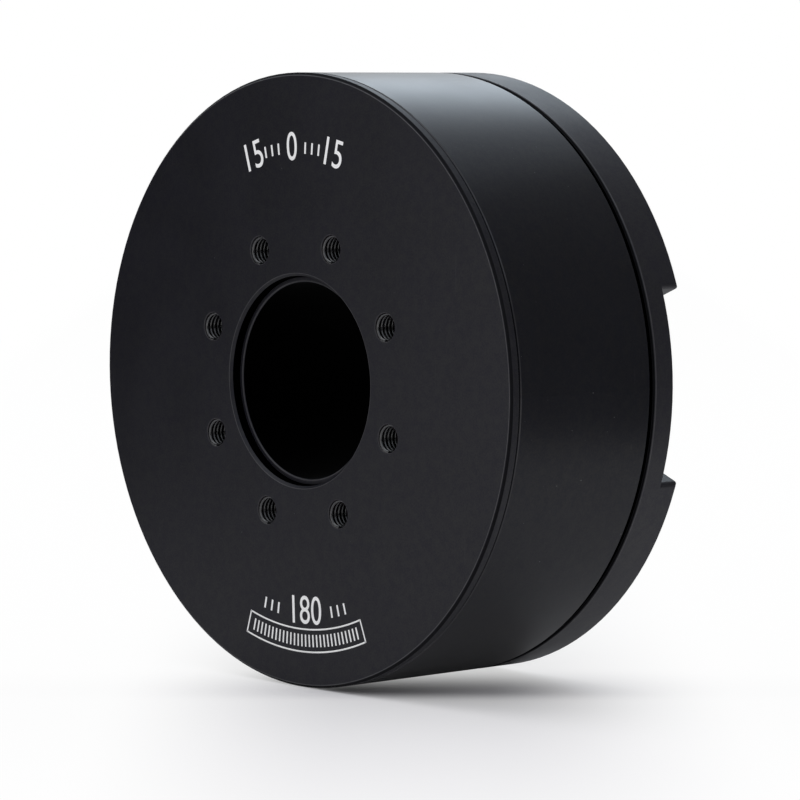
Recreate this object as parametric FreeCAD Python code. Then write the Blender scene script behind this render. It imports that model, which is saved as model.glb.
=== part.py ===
import FreeCAD, Part
import math
import os
from FreeCAD import Vector

# Hollow-shaft direct-drive joint actuator with an outer rotor, in millimetres.
#
# A fixed base ring carries the wound stator, the bearing carrier and a thin liner through
# the hollow shaft. The output flange, its hub tube and the drum around the magnets turn on
# two thin-section ball bearings.
#
# Every sub-part is drawn on a bench frame: the shaft stands along Z, heights are measured
# from the rear mounting face, and angles from +X, where the connector notch is. The last
# step lays the shaft along Y with the output face towards -Y and keeps the origin at the
# centre of the rear mounting face.

# ---- driving dimensions: turning parts -------------------------------------------------
BODY_RADIUS = 65.0              # drum, flange rim and base ring
FACE_CHAMFER = 0.6              # front edge of the output face
RIM_THICKNESS = 2.25            # flange rim, from the face to the seam
RIM_EDGE_BREAK = 0.12           # rear edge of the flange rim
SEAM_WIDTH = 0.35               # groove between flange rim and drum
SEAM_DEPTH = 0.8
FLANGE_WEB = 4.7                # output disc
HUB_WALL = 2.75                 # hub tube that carries the bearings
HUB_BORE_CHAMFER = 0.55
OUTPUT_BOLT_INSET = 7.75        # hub bore to bolt circle
OUTPUT_BOLT_COUNT = 8
OUTPUT_BOLT_RADIUS = 3.0        # M6
OUTPUT_BOLT_DEPTH = 8.0
OUTPUT_BOLT_CHAMFER = 0.12
OUTPUT_BOLT_FLOOR = 1.0         # metal left behind each blind hole
OUTPUT_BOLT_EDGE = 2.5          # boss wall outside the bolt holes
OUTPUT_BOLT_PHASE = 22.5        # first bolt hole, from the rotor's own zero
OUTPUT_REST_TURN = 2.3          # angle at which the output stands at rest
YOKE_WALL = 6.0                 # steel drum around the magnets
YOKE_EDGE_BREAK = 0.25
MAGNET_THICKNESS = 3.2
MAGNET_COUNT = 42
MAGNET_SPACING = 0.8            # degrees between neighbouring magnets
MAGNET_OVERHANG = 0.5           # magnet beyond the core at each end

# ---- driving dimensions: bearings and hub stack ----------------------------------------
BEARING_SECTION = 7.5           # radial height of a thin-section bearing
BEARING_WIDTH = 7.0
BEARING_CORNER = 0.3
RING_THICKNESS = 2.3            # inner and outer ring
BALL_RADIUS = 2.0
BALL_COUNT = 24
RACE_CLEARANCE = 0.03           # ball to groove
CAGE_WALL = 1.9
CAGE_WIDTH = 5.0
CAGE_POCKET_CLEARANCE = 0.15
RING_STEP_HEIGHT = 0.5          # flange shoulder that touches the inner ring only
RING_STEP_WIDTH = 2.0
LOCK_NUT_WALL = 4.0
LOCK_NUT_HEIGHT = 3.0
LOCK_NUT_SLOTS = 4
LOCK_NUT_SLOT_WIDTH = 4.0
LOCK_NUT_SLOT_DEPTH = 1.5
PRELOAD_SPRING_HEIGHT = 1.0
PRELOAD_SPRING_LEAF = 0.4
PRELOAD_SPRING_CLEARANCE = 0.2
ENCODER_CARRIER_WALL = 6.0
ENCODER_CARRIER_HEIGHT = 2.0
ENCODER_RING_WIDTH = 4.5
ENCODER_RING_HEIGHT = 1.5
ENCODER_AIR_GAP = 0.6

# ---- driving dimensions: stator --------------------------------------------------------
AIR_GAP = 0.8                   # magnets to teeth
TOOTH_COUNT = 36
TOOTH_WIDTH = 4.5
TOOTH_SHOE = 2.0                # radial thickness of the pole shoe
SLOT_DEPTH = 11.0               # slot root to pole shoe
SLOT_MOUTH = 1.6                # opening between neighbouring shoes
BACK_IRON = 4.0
CORE_HEIGHT = 25.0
END_WINDING = 4.0               # insulator and winding beyond the core
INSULATOR_THICKNESS = 0.8
INSULATOR_INSET = 0.4           # insulator back from the pole face
SLOT_LINER = 0.2                # paper between tooth and winding
COIL_SPACING = 0.3              # between neighbouring windings
COIL_END_CLEARANCE = 0.3        # winding to root and to shoe
COIL_CORNER = 2.2
REAR_WINDING_CLEARANCE = 1.6
FRONT_WINDING_CLEARANCE = 1.5
LEAD_RADIUS = 0.8
LEAD_TAIL = 0.6                 # lead end behind the board
LEAD_HOLE_CLEARANCE = 0.5
LEAD_TEETH = (18, 20, 16)       # teeth whose windings carry the leads of phases u, v and w

# ---- driving dimensions: base ----------------------------------------------------------
BASE_HEIGHT = 10.4
BASE_WEB = 2.8
BASE_REAR_CHAMFER = 0.4
BASE_EDGE_BREAK = 0.5
RIM_WALL = 11.0                 # base wall outside the rear cover
LEDGE_WIDTH = 2.0               # seat of the gasket
ROTOR_GAP = 1.25                # base ring to drum
LIP_ENGAGEMENT = 1.1            # labyrinth lip inside the drum
LIP_WALL = 1.0
LIP_CLEARANCE = 0.6
NOTCH_HALF_ANGLE = 18.33        # where the notch walls meet the outer wall
NOTCH_WALL_LEAN = 4.4           # notch walls from the radial direction, closing inwards
NOTCH_DEPTH = 5.0               # from the rear face
NOTCH_CORNER = 1.1
BASE_BOLT_EDGE = 6.0            # bolt circle in from the outer wall
BASE_BOLT_COUNT = 6
BASE_BOLT_RADIUS = 2.0          # M4
BASE_BOLT_DEPTH = 8.0
BASE_BOLT_CHAMFER = 0.3
BASE_BOLT_PHASE = 30.0
CARRIER_WALL = 5.5
CARRIER_SPIGOT_WALL = 2.5
CARRIER_SHOULDER_INSET = 0.5    # shoulder edge in from the slot roots
CARRIER_RACE_STEP = 1.5         # inward shoulder between the outer rings
CARRIER_FRONT_RECESS = 0.3
CARRIER_SCREW_EDGE = 2.9        # screw circle in from the shoulder edge
CARRIER_SCREW_COUNT = 6
CARRIER_SCREW_RADIUS = 1.5      # M3
CARRIER_SCREW_HEAD_RADIUS = 2.8
CARRIER_SCREW_REACH = 4.4       # thread in the carrier
SCREW_HEAD_RECESS = 0.1

# ---- driving dimensions: rear cover, liner and electronics -----------------------------
COVER_THICKNESS = 2.0
COVER_FIT = 0.1
COVER_EDGE_BREAK = 0.2
GASKET_THICKNESS = 0.4
GASKET_INSET = 0.6              # from the ledge's inner edge
COVER_SCREW_INSET = 2.5         # screw circle in from the pocket wall
COVER_SCREW_COUNT = 6
COVER_SCREW_PHASE = 30.0
COVER_SCREW_RADIUS = 1.25       # M2.5
COVER_SCREW_HEAD_RADIUS = 2.2
COVER_SCREW_REACH = 4.5
POST_RADIUS = 2.3
POST_RIB_WIDTH = 3.0
LINER_GAP = 0.2                 # running gap inside the hub bore
LINER_WALL = 1.15
LINER_RECESS = 2.3              # liner end below the output face
LINER_CHAMFER = 0.2
LINER_FLANGE_WIDTH = 3.95
LINER_FLANGE_THICKNESS = 1.2
LINER_SCREW_OFFSET = 1.95       # screw circle outside the liner
LINER_SCREW_COUNT = 4
LINER_SCREW_RADIUS = 0.8        # M1.6
LINER_SCREW_HEAD_RADIUS = 1.4
BOARD_THICKNESS = 1.6
BOARD_INNER_CLEARANCE = 1.95    # liner to board
BOARD_OUTER_CLEARANCE = 5.5     # board to pocket wall
BOARD_TONGUE_HALF_WIDTH = 14.5  # tongue under the connectors
BOARD_TONGUE_CLEARANCE = 0.5
BOARD_SCREW_COUNT = 4
BOARD_SCREW_PHASE = 45.0
BOARD_SCREW_RADIUS = 1.0        # M2
BOARD_SCREW_HEAD_RADIUS = 1.9
BOARD_SCREW_HEAD_HEIGHT = 1.3
BOARD_SCREW_REACH = 2.0         # thread in the base web
PAD_THICKNESS = 0.4
PAD_WIDTH = 4.8
PAD_INSET = 0.3
PAD_HOLE_CLEARANCE = 0.5
TRANSISTOR_SIZE = (4.6, 6.0, 1.0)
TRANSISTOR_ANGLES = (75.0, 95.0, 115.0, 245.0, 265.0, 285.0)
CAPACITOR_RADIUS = 3.0
CAPACITOR_CLEARANCE = 0.6       # to the cover
CAPACITOR_INSET = 10.5          # in from the board's edge
CAPACITOR_ANGLES = (38.0, 58.0, 302.0, 322.0)
CONTROLLER_SIZE = (7.0, 7.0, 1.0)
CONTROLLER_INSET = 12.5
ENCODER_CHIP_SIZE = (3.6, 3.6, 1.0)
CHIP_ANGLE = 180.0
CONNECTOR_WALL = 1.0
CONNECTOR_BACK = 1.6
POWER_CONNECTOR_LENGTH = 10.5
POWER_CONNECTOR_WIDTH = 12.6
POWER_CONNECTOR_RECESS = 0.9    # from the rear face
POWER_CONNECTOR_SETBACK = 0.6   # mouth in from the pocket wall
POWER_PIN_RADIUS = 0.75
POWER_PIN_SPACING = 5.2
POWER_PIN_SETBACK = 1.4
SIGNAL_CONNECTOR_SIZE = (6.6, 6.0, 3.4)
SIGNAL_CONNECTOR_SETBACK = 2.4
SIGNAL_CONNECTOR_OFFSET = 10.2  # centre, either side of the power connector
SIGNAL_PIN_RADIUS = 0.25
SIGNAL_PIN_SPACING = 1.1
SIGNAL_PIN_COUNT = 4
SIGNAL_PIN_SETBACK = 1.0
BAY_BACK_CLEARANCE = 0.4        # cover opening behind the power connector

OVERSHOOT = 1.0                 # how far a cutting tool runs past a face

# ---- radii worked out from the driving dimensions --------------------------------------
yoke_inner_radius = BODY_RADIUS - YOKE_WALL
magnet_inner_radius = yoke_inner_radius - MAGNET_THICKNESS
stator_radius = magnet_inner_radius - AIR_GAP
shoe_inner_radius = stator_radius - TOOTH_SHOE
root_radius = shoe_inner_radius - SLOT_DEPTH
carrier_radius = root_radius - BACK_IRON
bearing_outer_radius = carrier_radius - CARRIER_WALL
hub_outer_radius = bearing_outer_radius - BEARING_SECTION
hub_bore_radius = hub_outer_radius - HUB_WALL
inner_ring_radius = hub_outer_radius + RING_THICKNESS
outer_ring_radius = bearing_outer_radius - RING_THICKNESS
pitch_radius = hub_outer_radius + BEARING_SECTION / 2
groove_radius = BALL_RADIUS + RACE_CLEARANCE
output_bolt_circle = hub_bore_radius + OUTPUT_BOLT_INSET
boss_radius = output_bolt_circle + OUTPUT_BOLT_RADIUS + OUTPUT_BOLT_EDGE
shoulder_radius = root_radius - CARRIER_SHOULDER_INSET
spigot_radius = bearing_outer_radius + CARRIER_SPIGOT_WALL
race_step_radius = bearing_outer_radius - CARRIER_RACE_STEP
carrier_screw_circle = shoulder_radius - CARRIER_SCREW_EDGE
cover_seat_radius = BODY_RADIUS - RIM_WALL
pocket_radius = cover_seat_radius - LEDGE_WIDTH
cover_radius = cover_seat_radius - COVER_FIT
cover_screw_circle = pocket_radius - COVER_SCREW_INSET
base_bolt_circle = BODY_RADIUS - BASE_BOLT_EDGE
liner_outer_radius = hub_bore_radius - LINER_GAP
liner_inner_radius = liner_outer_radius - LINER_WALL
liner_flange_radius = liner_outer_radius + LINER_FLANGE_WIDTH
liner_screw_circle = liner_outer_radius + LINER_SCREW_OFFSET
board_inner_radius = liner_outer_radius + BOARD_INNER_CLEARANCE
board_outer_radius = pocket_radius - BOARD_OUTER_CLEARANCE
tongue_radius = pocket_radius - BOARD_TONGUE_CLEARANCE
controller_circle = board_outer_radius - CONTROLLER_INSET
pad_outer_radius = board_outer_radius - PAD_INSET
pad_inner_radius = pad_outer_radius - PAD_WIDTH
pad_circle = (pad_inner_radius + pad_outer_radius) / 2
encoder_carrier_radius = hub_outer_radius + ENCODER_CARRIER_WALL
encoder_ring_inner_radius = encoder_carrier_radius - ENCODER_RING_WIDTH
encoder_circle = (encoder_ring_inner_radius + encoder_carrier_radius) / 2

# ---- heights above the rear face -------------------------------------------------------
web_rear = BASE_HEIGHT - BASE_WEB
board_front = web_rear - PAD_THICKNESS
board_rear = board_front - BOARD_THICKNESS
ledge_height = COVER_THICKNESS + GASKET_THICKNESS
core_rear = BASE_HEIGHT + REAR_WINDING_CLEARANCE + END_WINDING
core_front = core_rear + CORE_HEIGHT
winding_rear = core_rear - END_WINDING
winding_front = core_front + END_WINDING
flange_rear = winding_front + FRONT_WINDING_CLEARANCE
face_height = flange_rear + FLANGE_WEB
rim_rear = face_height - RIM_THICKNESS
yoke_front = rim_rear - SEAM_WIDTH
yoke_rear = BASE_HEIGHT + ROTOR_GAP
lip_front = yoke_rear + LIP_ENGAGEMENT
boss_rear = face_height - OUTPUT_BOLT_DEPTH - OUTPUT_BOLT_FLOOR
front_bearing_high = boss_rear - RING_STEP_HEIGHT
front_bearing_low = front_bearing_high - BEARING_WIDTH
encoder_ring_rear = board_front + ENCODER_CHIP_SIZE[2] + ENCODER_AIR_GAP
hub_rear = encoder_ring_rear + ENCODER_RING_HEIGHT
lock_nut_rear = hub_rear + ENCODER_CARRIER_HEIGHT
rear_bearing_low = lock_nut_rear + LOCK_NUT_HEIGHT
rear_bearing_high = rear_bearing_low + BEARING_WIDTH
race_step_rear = rear_bearing_high + PRELOAD_SPRING_HEIGHT
carrier_front = front_bearing_high - CARRIER_FRONT_RECESS
liner_front = face_height - LINER_RECESS
liner_flange_front = COVER_THICKNESS + LINER_FLANGE_THICKNESS
output_bolt_phase = OUTPUT_BOLT_PHASE + OUTPUT_REST_TURN
power_connector_size = (POWER_CONNECTOR_LENGTH, POWER_CONNECTOR_WIDTH, board_rear - POWER_CONNECTOR_RECESS)


# ---- shapes used by many sub-parts -----------------------------------------------------
def evenly(count, phase=0.0):
    """Angles in degrees of copies spread evenly around the shaft."""
    return [phase + 360.0 * index / count for index in range(count)]


def profile_face(profile):
    """Flat face in the plane of the shaft from its (radius, height) corners."""
    corners = [Vector(radius, 0, height) for radius, height in profile]
    return Part.Face(Part.makePolygon(corners + corners[:1]))


def swept(profile, start, sweep):
    """Solid swept around the shaft from a (radius, height) outline."""
    axis = Vector(0, 0, 1)
    face = profile_face(profile)
    face.rotate(Vector(), axis, start)
    return face.revolve(Vector(), axis, sweep)


def turned(profile):
    """Solid turned all the way around the shaft from a (radius, height) outline."""
    return swept(profile, 0.0, 360.0)


def ring(inner, outer, low, high):
    """Plain ring between two radii and two heights."""
    return turned([(inner, low), (outer, low), (outer, high), (inner, high)])


def block(length, width, height, radius, low):
    """Box centred on +X at a radius, standing on a height; length runs outwards."""
    return Part.makeBox(length, width, height, Vector(radius - length / 2, -width / 2, low))


def rod(radius, low, high, circle):
    """Round bar along the shaft's direction, on +X at a circle's radius."""
    return Part.makeCylinder(radius, high - low, Vector(circle, 0, low))


def copied(shape, angles):
    """Copies of a shape turned about the shaft to each angle."""
    copies = []
    for angle in angles:
        copy = shape.copy()
        copy.rotate(Vector(), Vector(0, 0, 1), angle)
        copies.append(copy)
    return copies


def hole_tool(radius, depth, chamfer, circle, mouth, inwards):
    """Blind hole with a chamfered mouth at a height, drilled up (+1) or down (-1)."""
    lead = chamfer + OVERSHOOT
    outline = [(0, -OVERSHOOT), (radius + lead, -OVERSHOOT), (radius, chamfer), (radius, depth), (0, depth)]
    tool = turned([(offset, mouth + inwards * height) for offset, height in outline])
    tool.translate(Vector(circle, 0, 0))
    return tool


def countersunk_outline(shank, head, seat, tip):
    """Half outline of a countersunk screw; the head's top lies just below its seat."""
    top = seat + SCREW_HEAD_RECESS
    return [(0, top), (head, top), (shank, top + head - shank), (shank, tip), (0, tip)]


def countersunk_hole(shank, head, seat, tip, circle):
    """Hole that holds a countersunk screw driven upwards from a face."""
    outline = countersunk_outline(shank, head, seat, tip)
    mouth = [(0, seat - OVERSHOOT), (head, seat - OVERSHOOT)]
    tool = turned(mouth + outline[1:])
    tool.translate(Vector(circle, 0, 0))
    return tool


def countersunk_screw(shank, head, seat, tip, circle):
    """Countersunk screw with a hexagon socket, driven upwards from a face."""
    screw = turned(countersunk_outline(shank, head, seat, tip))
    top = seat + SCREW_HEAD_RECESS
    screw = screw.cut(hexagon_prism(head / 2, top - OVERSHOOT, top + (head - shank) * 0.8))
    screw.translate(Vector(circle, 0, 0))
    return screw


def hexagon_prism(radius, low, high):
    """Six-sided prism around the shaft's direction; the radius is to its corners."""
    corners = [Vector(radius * math.cos(math.radians(angle)), radius * math.sin(math.radians(angle)), low)
               for angle in evenly(6)]
    return Part.Face(Part.makePolygon(corners + corners[:1])).extrude(Vector(0, 0, high - low))


# ---- turning parts ---------------------------------------------------------------------
def output_flange():
    """Output disc, bolt boss and hub tube, in one piece."""
    body = turned([
        (hub_bore_radius, hub_rear),
        (hub_outer_radius, hub_rear),
        (hub_outer_radius, front_bearing_high),
        (hub_outer_radius + RING_STEP_WIDTH, front_bearing_high),
        (hub_outer_radius + RING_STEP_WIDTH, boss_rear),
        (boss_radius, boss_rear),
        (boss_radius, flange_rear),
        (yoke_inner_radius, flange_rear),
        (yoke_inner_radius, yoke_front),
        (BODY_RADIUS - SEAM_DEPTH, yoke_front),
        (BODY_RADIUS - SEAM_DEPTH, rim_rear),
        (BODY_RADIUS - RIM_EDGE_BREAK, rim_rear),
        (BODY_RADIUS, rim_rear + RIM_EDGE_BREAK),
        (BODY_RADIUS, face_height - FACE_CHAMFER),
        (BODY_RADIUS - FACE_CHAMFER, face_height),
        (hub_bore_radius + HUB_BORE_CHAMFER, face_height),
        (hub_bore_radius, face_height - HUB_BORE_CHAMFER),
    ])
    hole = hole_tool(OUTPUT_BOLT_RADIUS, OUTPUT_BOLT_DEPTH, OUTPUT_BOLT_CHAMFER,
                     output_bolt_circle, face_height, -1)
    return body.cut(copied(hole, evenly(OUTPUT_BOLT_COUNT, output_bolt_phase)))


def rotor_yoke():
    """Steel drum that closes the magnetic circuit and shows as the outer shell."""
    return turned([
        (yoke_inner_radius, yoke_rear),
        (BODY_RADIUS - YOKE_EDGE_BREAK, yoke_rear),
        (BODY_RADIUS, yoke_rear + YOKE_EDGE_BREAK),
        (BODY_RADIUS, yoke_front - YOKE_EDGE_BREAK),
        (BODY_RADIUS - YOKE_EDGE_BREAK, yoke_front),
        (yoke_inner_radius, yoke_front),
    ])


def magnets(first):
    """Every second magnet around the drum, all with the same pole facing the stator."""
    pitch = 360.0 / MAGNET_COUNT
    low = core_rear - MAGNET_OVERHANG
    high = core_front + MAGNET_OVERHANG
    outline = [(magnet_inner_radius, low), (yoke_inner_radius, low),
               (yoke_inner_radius, high), (magnet_inner_radius, high)]
    magnet = swept(outline, MAGNET_SPACING / 2, pitch - MAGNET_SPACING)
    angles = [OUTPUT_REST_TURN + pitch * index for index in range(first, MAGNET_COUNT, 2)]
    return Part.makeCompound(copied(magnet, angles))


def hub_lock_nut():
    """Slotted nut that clamps the inner rings against the flange shoulder."""
    nut_radius = hub_outer_radius + LOCK_NUT_WALL
    nut = ring(hub_outer_radius, nut_radius, lock_nut_rear, rear_bearing_low)
    slot = block(2 * LOCK_NUT_SLOT_DEPTH, LOCK_NUT_SLOT_WIDTH, LOCK_NUT_HEIGHT, nut_radius, lock_nut_rear)
    return nut.cut(copied(slot, evenly(LOCK_NUT_SLOTS, OUTPUT_REST_TURN)))


def bearing_spacer():
    """Sleeve between the two inner rings."""
    return ring(hub_outer_radius, inner_ring_radius, rear_bearing_high, front_bearing_low)


def encoder_magnet_carrier():
    """Disc pressed on the hub's rear end."""
    return ring(hub_outer_radius, encoder_carrier_radius, hub_rear, lock_nut_rear)


def encoder_magnet_ring():
    """Magnet ring that the angle sensor reads."""
    return ring(encoder_ring_inner_radius, encoder_carrier_radius, encoder_ring_rear, hub_rear)


# ---- bearings --------------------------------------------------------------------------
def race_groove(low):
    """Ball track around the middle of a bearing that starts at a height."""
    return Part.makeTorus(pitch_radius, groove_radius, Vector(0, 0, low + BEARING_WIDTH / 2))


def bearing_inner_ring(low):
    """Inner ring of a bearing that starts at a height."""
    high = low + BEARING_WIDTH
    body = turned([
        (hub_outer_radius + BEARING_CORNER, low),
        (inner_ring_radius, low),
        (inner_ring_radius, high),
        (hub_outer_radius + BEARING_CORNER, high),
        (hub_outer_radius, high - BEARING_CORNER),
        (hub_outer_radius, low + BEARING_CORNER),
    ])
    return body.cut(race_groove(low))


def bearing_outer_ring(low):
    """Outer ring of a bearing that starts at a height."""
    high = low + BEARING_WIDTH
    body = turned([
        (outer_ring_radius, low),
        (bearing_outer_radius - BEARING_CORNER, low),
        (bearing_outer_radius, low + BEARING_CORNER),
        (bearing_outer_radius, high - BEARING_CORNER),
        (bearing_outer_radius - BEARING_CORNER, high),
        (outer_ring_radius, high),
    ])
    return body.cut(race_groove(low))


def bearing_balls(low):
    """Ring of balls of a bearing that starts at a height."""
    ball = Part.makeSphere(BALL_RADIUS, Vector(pitch_radius, 0, low + BEARING_WIDTH / 2))
    return Part.makeCompound(copied(ball, evenly(BALL_COUNT)))


def bearing_cage(low):
    """Cage with one radial pocket for each ball."""
    middle = low + BEARING_WIDTH / 2
    body = ring(pitch_radius - CAGE_WALL / 2, pitch_radius + CAGE_WALL / 2,
                middle - CAGE_WIDTH / 2, middle + CAGE_WIDTH / 2)
    pocket = Part.makeCylinder(BALL_RADIUS + CAGE_POCKET_CLEARANCE, CAGE_WALL + 2 * OVERSHOOT,
                               Vector(pitch_radius - CAGE_WALL / 2 - OVERSHOOT, 0, middle), Vector(1, 0, 0))
    return body.cut(copied(pocket, evenly(BALL_COUNT)))


def preload_spring():
    """Disc spring that pushes the rear outer ring away from the carrier's shoulder."""
    inner = race_step_radius - PRELOAD_SPRING_CLEARANCE
    outer = bearing_outer_radius - PRELOAD_SPRING_CLEARANCE
    return turned([
        (inner, rear_bearing_high),
        (outer, race_step_rear - PRELOAD_SPRING_LEAF),
        (outer, race_step_rear),
        (inner, rear_bearing_high + PRELOAD_SPRING_LEAF),
    ])


# ---- stator ----------------------------------------------------------------------------
def around(radius, degrees):
    """Point on a circle about the shaft."""
    angle = math.radians(degrees)
    return Vector(radius * math.cos(angle), radius * math.sin(angle), 0)


def line_edge(start_radius, start, end_radius, end):
    """Straight edge between two points given by radius and angle."""
    return Part.makeLine(around(start_radius, start), around(end_radius, end))


def arc_edge(radius, start, end):
    """Arc about the shaft between two angles."""
    return Part.Arc(around(radius, start), around(radius, (start + end) / 2), around(radius, end)).toShape()


def toothed_plate(inner, root, neck, tip, tooth_width, mouth, low, high):
    """Ring with outward T-shaped teeth, the cross-section of the stator core."""
    pitch = 360.0 / TOOTH_COUNT
    root_half = math.degrees(math.asin(tooth_width / 2 / root))
    neck_half = math.degrees(math.asin(tooth_width / 2 / neck))
    shoe_half_inner = pitch / 2 - math.degrees(math.asin(mouth / 2 / neck))
    shoe_half_outer = pitch / 2 - math.degrees(math.asin(mouth / 2 / tip))
    edges = []
    for centre in evenly(TOOTH_COUNT):
        edges.append(line_edge(root, centre - root_half, neck, centre - neck_half))
        edges.append(arc_edge(neck, centre - neck_half, centre - shoe_half_inner))
        edges.append(line_edge(neck, centre - shoe_half_inner, tip, centre - shoe_half_outer))
        edges.append(arc_edge(tip, centre - shoe_half_outer, centre + shoe_half_outer))
        edges.append(line_edge(tip, centre + shoe_half_outer, neck, centre + shoe_half_inner))
        edges.append(arc_edge(neck, centre + shoe_half_inner, centre + neck_half))
        edges.append(line_edge(neck, centre + neck_half, root, centre + root_half))
        edges.append(arc_edge(root, centre + root_half, centre + pitch - root_half))
    plate = Part.Face(Part.Wire(edges)).extrude(Vector(0, 0, high - low))
    plate = plate.cut(Part.makeCylinder(inner, high - low))
    plate.translate(Vector(0, 0, low))
    return plate


def stator_core():
    """Laminated core on the bearing carrier."""
    return toothed_plate(carrier_radius, root_radius, shoe_inner_radius, stator_radius,
                         TOOTH_WIDTH, SLOT_MOUTH, core_rear, core_front)


def slot_insulator(low):
    """Moulded end plate between the core and the windings."""
    return toothed_plate(shoulder_radius + COVER_FIT, root_radius, shoe_inner_radius,
                         stator_radius - INSULATOR_INSET, TOOTH_WIDTH + 2 * SLOT_LINER,
                         SLOT_MOUTH + INSULATOR_INSET, low, low + INSULATOR_THICKNESS)


def coil():
    """Winding around one tooth: a tapered racetrack that fills half of each slot."""
    inner = root_radius + COIL_END_CLEARANCE
    outer = shoe_inner_radius - COIL_END_CLEARANCE
    slope = math.tan(math.pi / TOOTH_COUNT)
    inner_half = inner * slope - COIL_SPACING / 2
    outer_half = outer * slope - COIL_SPACING / 2
    height = winding_front - winding_rear
    corners = [Vector(inner, -inner_half, winding_rear), Vector(outer, -outer_half, winding_rear),
               Vector(outer, outer_half, winding_rear), Vector(inner, inner_half, winding_rear)]
    wedge = Part.Face(Part.makePolygon(corners + corners[:1])).extrude(Vector(0, 0, height))
    track = block(outer - inner, 2 * outer_half, height, (inner + outer) / 2, winding_rear)
    across = [edge for edge in track.Edges if abs(edge.tangentAt(edge.FirstParameter).x) > 0.99]
    track = track.makeFillet(COIL_CORNER, across)
    window_low = core_rear - INSULATOR_THICKNESS
    window_height = CORE_HEIGHT + 2 * INSULATOR_THICKNESS
    window = block(outer - inner + 2 * OVERSHOOT, TOOTH_WIDTH + 2 * SLOT_LINER, window_height,
                   (inner + outer) / 2, window_low)
    return wedge.common(track).cut(window)


def coils(phase):
    """Windings of one phase: two neighbouring teeth, then every sixth and seventh."""
    teeth = [tooth for tooth in range(TOOTH_COUNT) if tooth // 2 % 3 == phase]
    return Part.makeCompound(copied(coil(), [360.0 / TOOTH_COUNT * tooth for tooth in teeth]))


def lead_angles():
    """Angles of the three phase leads."""
    return [360.0 / TOOTH_COUNT * tooth for tooth in LEAD_TEETH]


def phase_leads():
    """Straight leads from the windings through the base web into the board."""
    lead = rod(LEAD_RADIUS, board_rear - LEAD_TAIL, winding_rear, pad_circle)
    return Part.makeCompound(copied(lead, lead_angles()))


# ---- base ------------------------------------------------------------------------------
def base_housing():
    """Fixed base ring with its web, labyrinth lip, connector notch and bolt holes."""
    lip_outer = yoke_inner_radius - LIP_CLEARANCE
    lip_inner = lip_outer - LIP_WALL
    body = turned([
        (cover_seat_radius, 0),
        (BODY_RADIUS - BASE_REAR_CHAMFER, 0),
        (BODY_RADIUS, BASE_REAR_CHAMFER),
        (BODY_RADIUS, BASE_HEIGHT - BASE_EDGE_BREAK),
        (BODY_RADIUS - BASE_EDGE_BREAK, BASE_HEIGHT),
        (lip_outer, BASE_HEIGHT),
        (lip_outer, lip_front),
        (lip_inner, lip_front),
        (lip_inner, BASE_HEIGHT),
        (spigot_radius, BASE_HEIGHT),
        (spigot_radius, web_rear),
        (pocket_radius, web_rear),
        (pocket_radius, ledge_height),
        (cover_seat_radius, ledge_height),
    ])
    body = body.cut(notch_tool())
    body = body.makeFillet(NOTCH_CORNER, notch_corners(body))
    post = rod(POST_RADIUS, COVER_THICKNESS, web_rear, cover_screw_circle)
    rib = block(COVER_SCREW_INSET + GASKET_INSET, POST_RIB_WIDTH, web_rear - ledge_height,
                cover_screw_circle + (COVER_SCREW_INSET + GASKET_INSET) / 2, ledge_height)
    cover_screw_angles = evenly(COVER_SCREW_COUNT, COVER_SCREW_PHASE)
    body = body.fuse(copied(post.fuse(rib), cover_screw_angles)).removeSplitter()
    bolt = hole_tool(BASE_BOLT_RADIUS, BASE_BOLT_DEPTH, BASE_BOLT_CHAMFER, base_bolt_circle, 0, 1)
    cover_screw = rod(COVER_SCREW_RADIUS, 0, COVER_THICKNESS + COVER_SCREW_REACH, cover_screw_circle)
    board_screw = rod(BOARD_SCREW_RADIUS, board_front, web_rear + BOARD_SCREW_REACH, pad_circle)
    lead = rod(LEAD_RADIUS + LEAD_HOLE_CLEARANCE, board_front, BASE_HEIGHT + OVERSHOOT, pad_circle)
    tools = copied(bolt, evenly(BASE_BOLT_COUNT, BASE_BOLT_PHASE))
    tools += copied(cover_screw, cover_screw_angles)
    tools += copied(carrier_screw_hole(), evenly(CARRIER_SCREW_COUNT))
    tools += copied(board_screw, evenly(BOARD_SCREW_COUNT, BOARD_SCREW_PHASE))
    tools += copied(lead, lead_angles())
    return body.cut(tools)


def notch_tool():
    """Wedge for the connector notch, from outside the wall into the pocket."""
    half_angle = math.radians(NOTCH_HALF_ANGLE)
    slope = math.tan(half_angle + math.radians(NOTCH_WALL_LEAN))
    corner_x, corner_y = BODY_RADIUS * math.cos(half_angle), BODY_RADIUS * math.sin(half_angle)
    inner = pocket_radius * math.cos(half_angle) - OVERSHOOT
    outer = BODY_RADIUS + OVERSHOOT
    corners = [Vector(x, side * (corner_y + (x - corner_x) * slope), -OVERSHOOT)
               for side, ends in ((-1, (inner, outer)), (1, (outer, inner))) for x in ends]
    return Part.Face(Part.makePolygon(corners + corners[:1])).extrude(Vector(0, 0, NOTCH_DEPTH + OVERSHOOT))


def notch_corners(body):
    """Edges along the shaft where the notch walls meet the outer wall."""
    corners = []
    for edge in body.Edges:
        middle = edge.CenterOfMass
        upright = abs(edge.tangentAt(edge.FirstParameter).z) > 0.99
        outside = math.hypot(middle.x, middle.y) > cover_seat_radius + OVERSHOOT
        angle = math.degrees(math.atan2(abs(middle.y), middle.x))
        if upright and outside and middle.z < NOTCH_DEPTH and abs(angle - NOTCH_HALF_ANGLE) < 1.0:
            corners.append(edge)
    return corners


def carrier_screw_hole():
    """Countersunk hole through the base web into the bearing carrier."""
    return countersunk_hole(CARRIER_SCREW_RADIUS, CARRIER_SCREW_HEAD_RADIUS, web_rear,
                            BASE_HEIGHT + CARRIER_SCREW_REACH, carrier_screw_circle)


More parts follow.
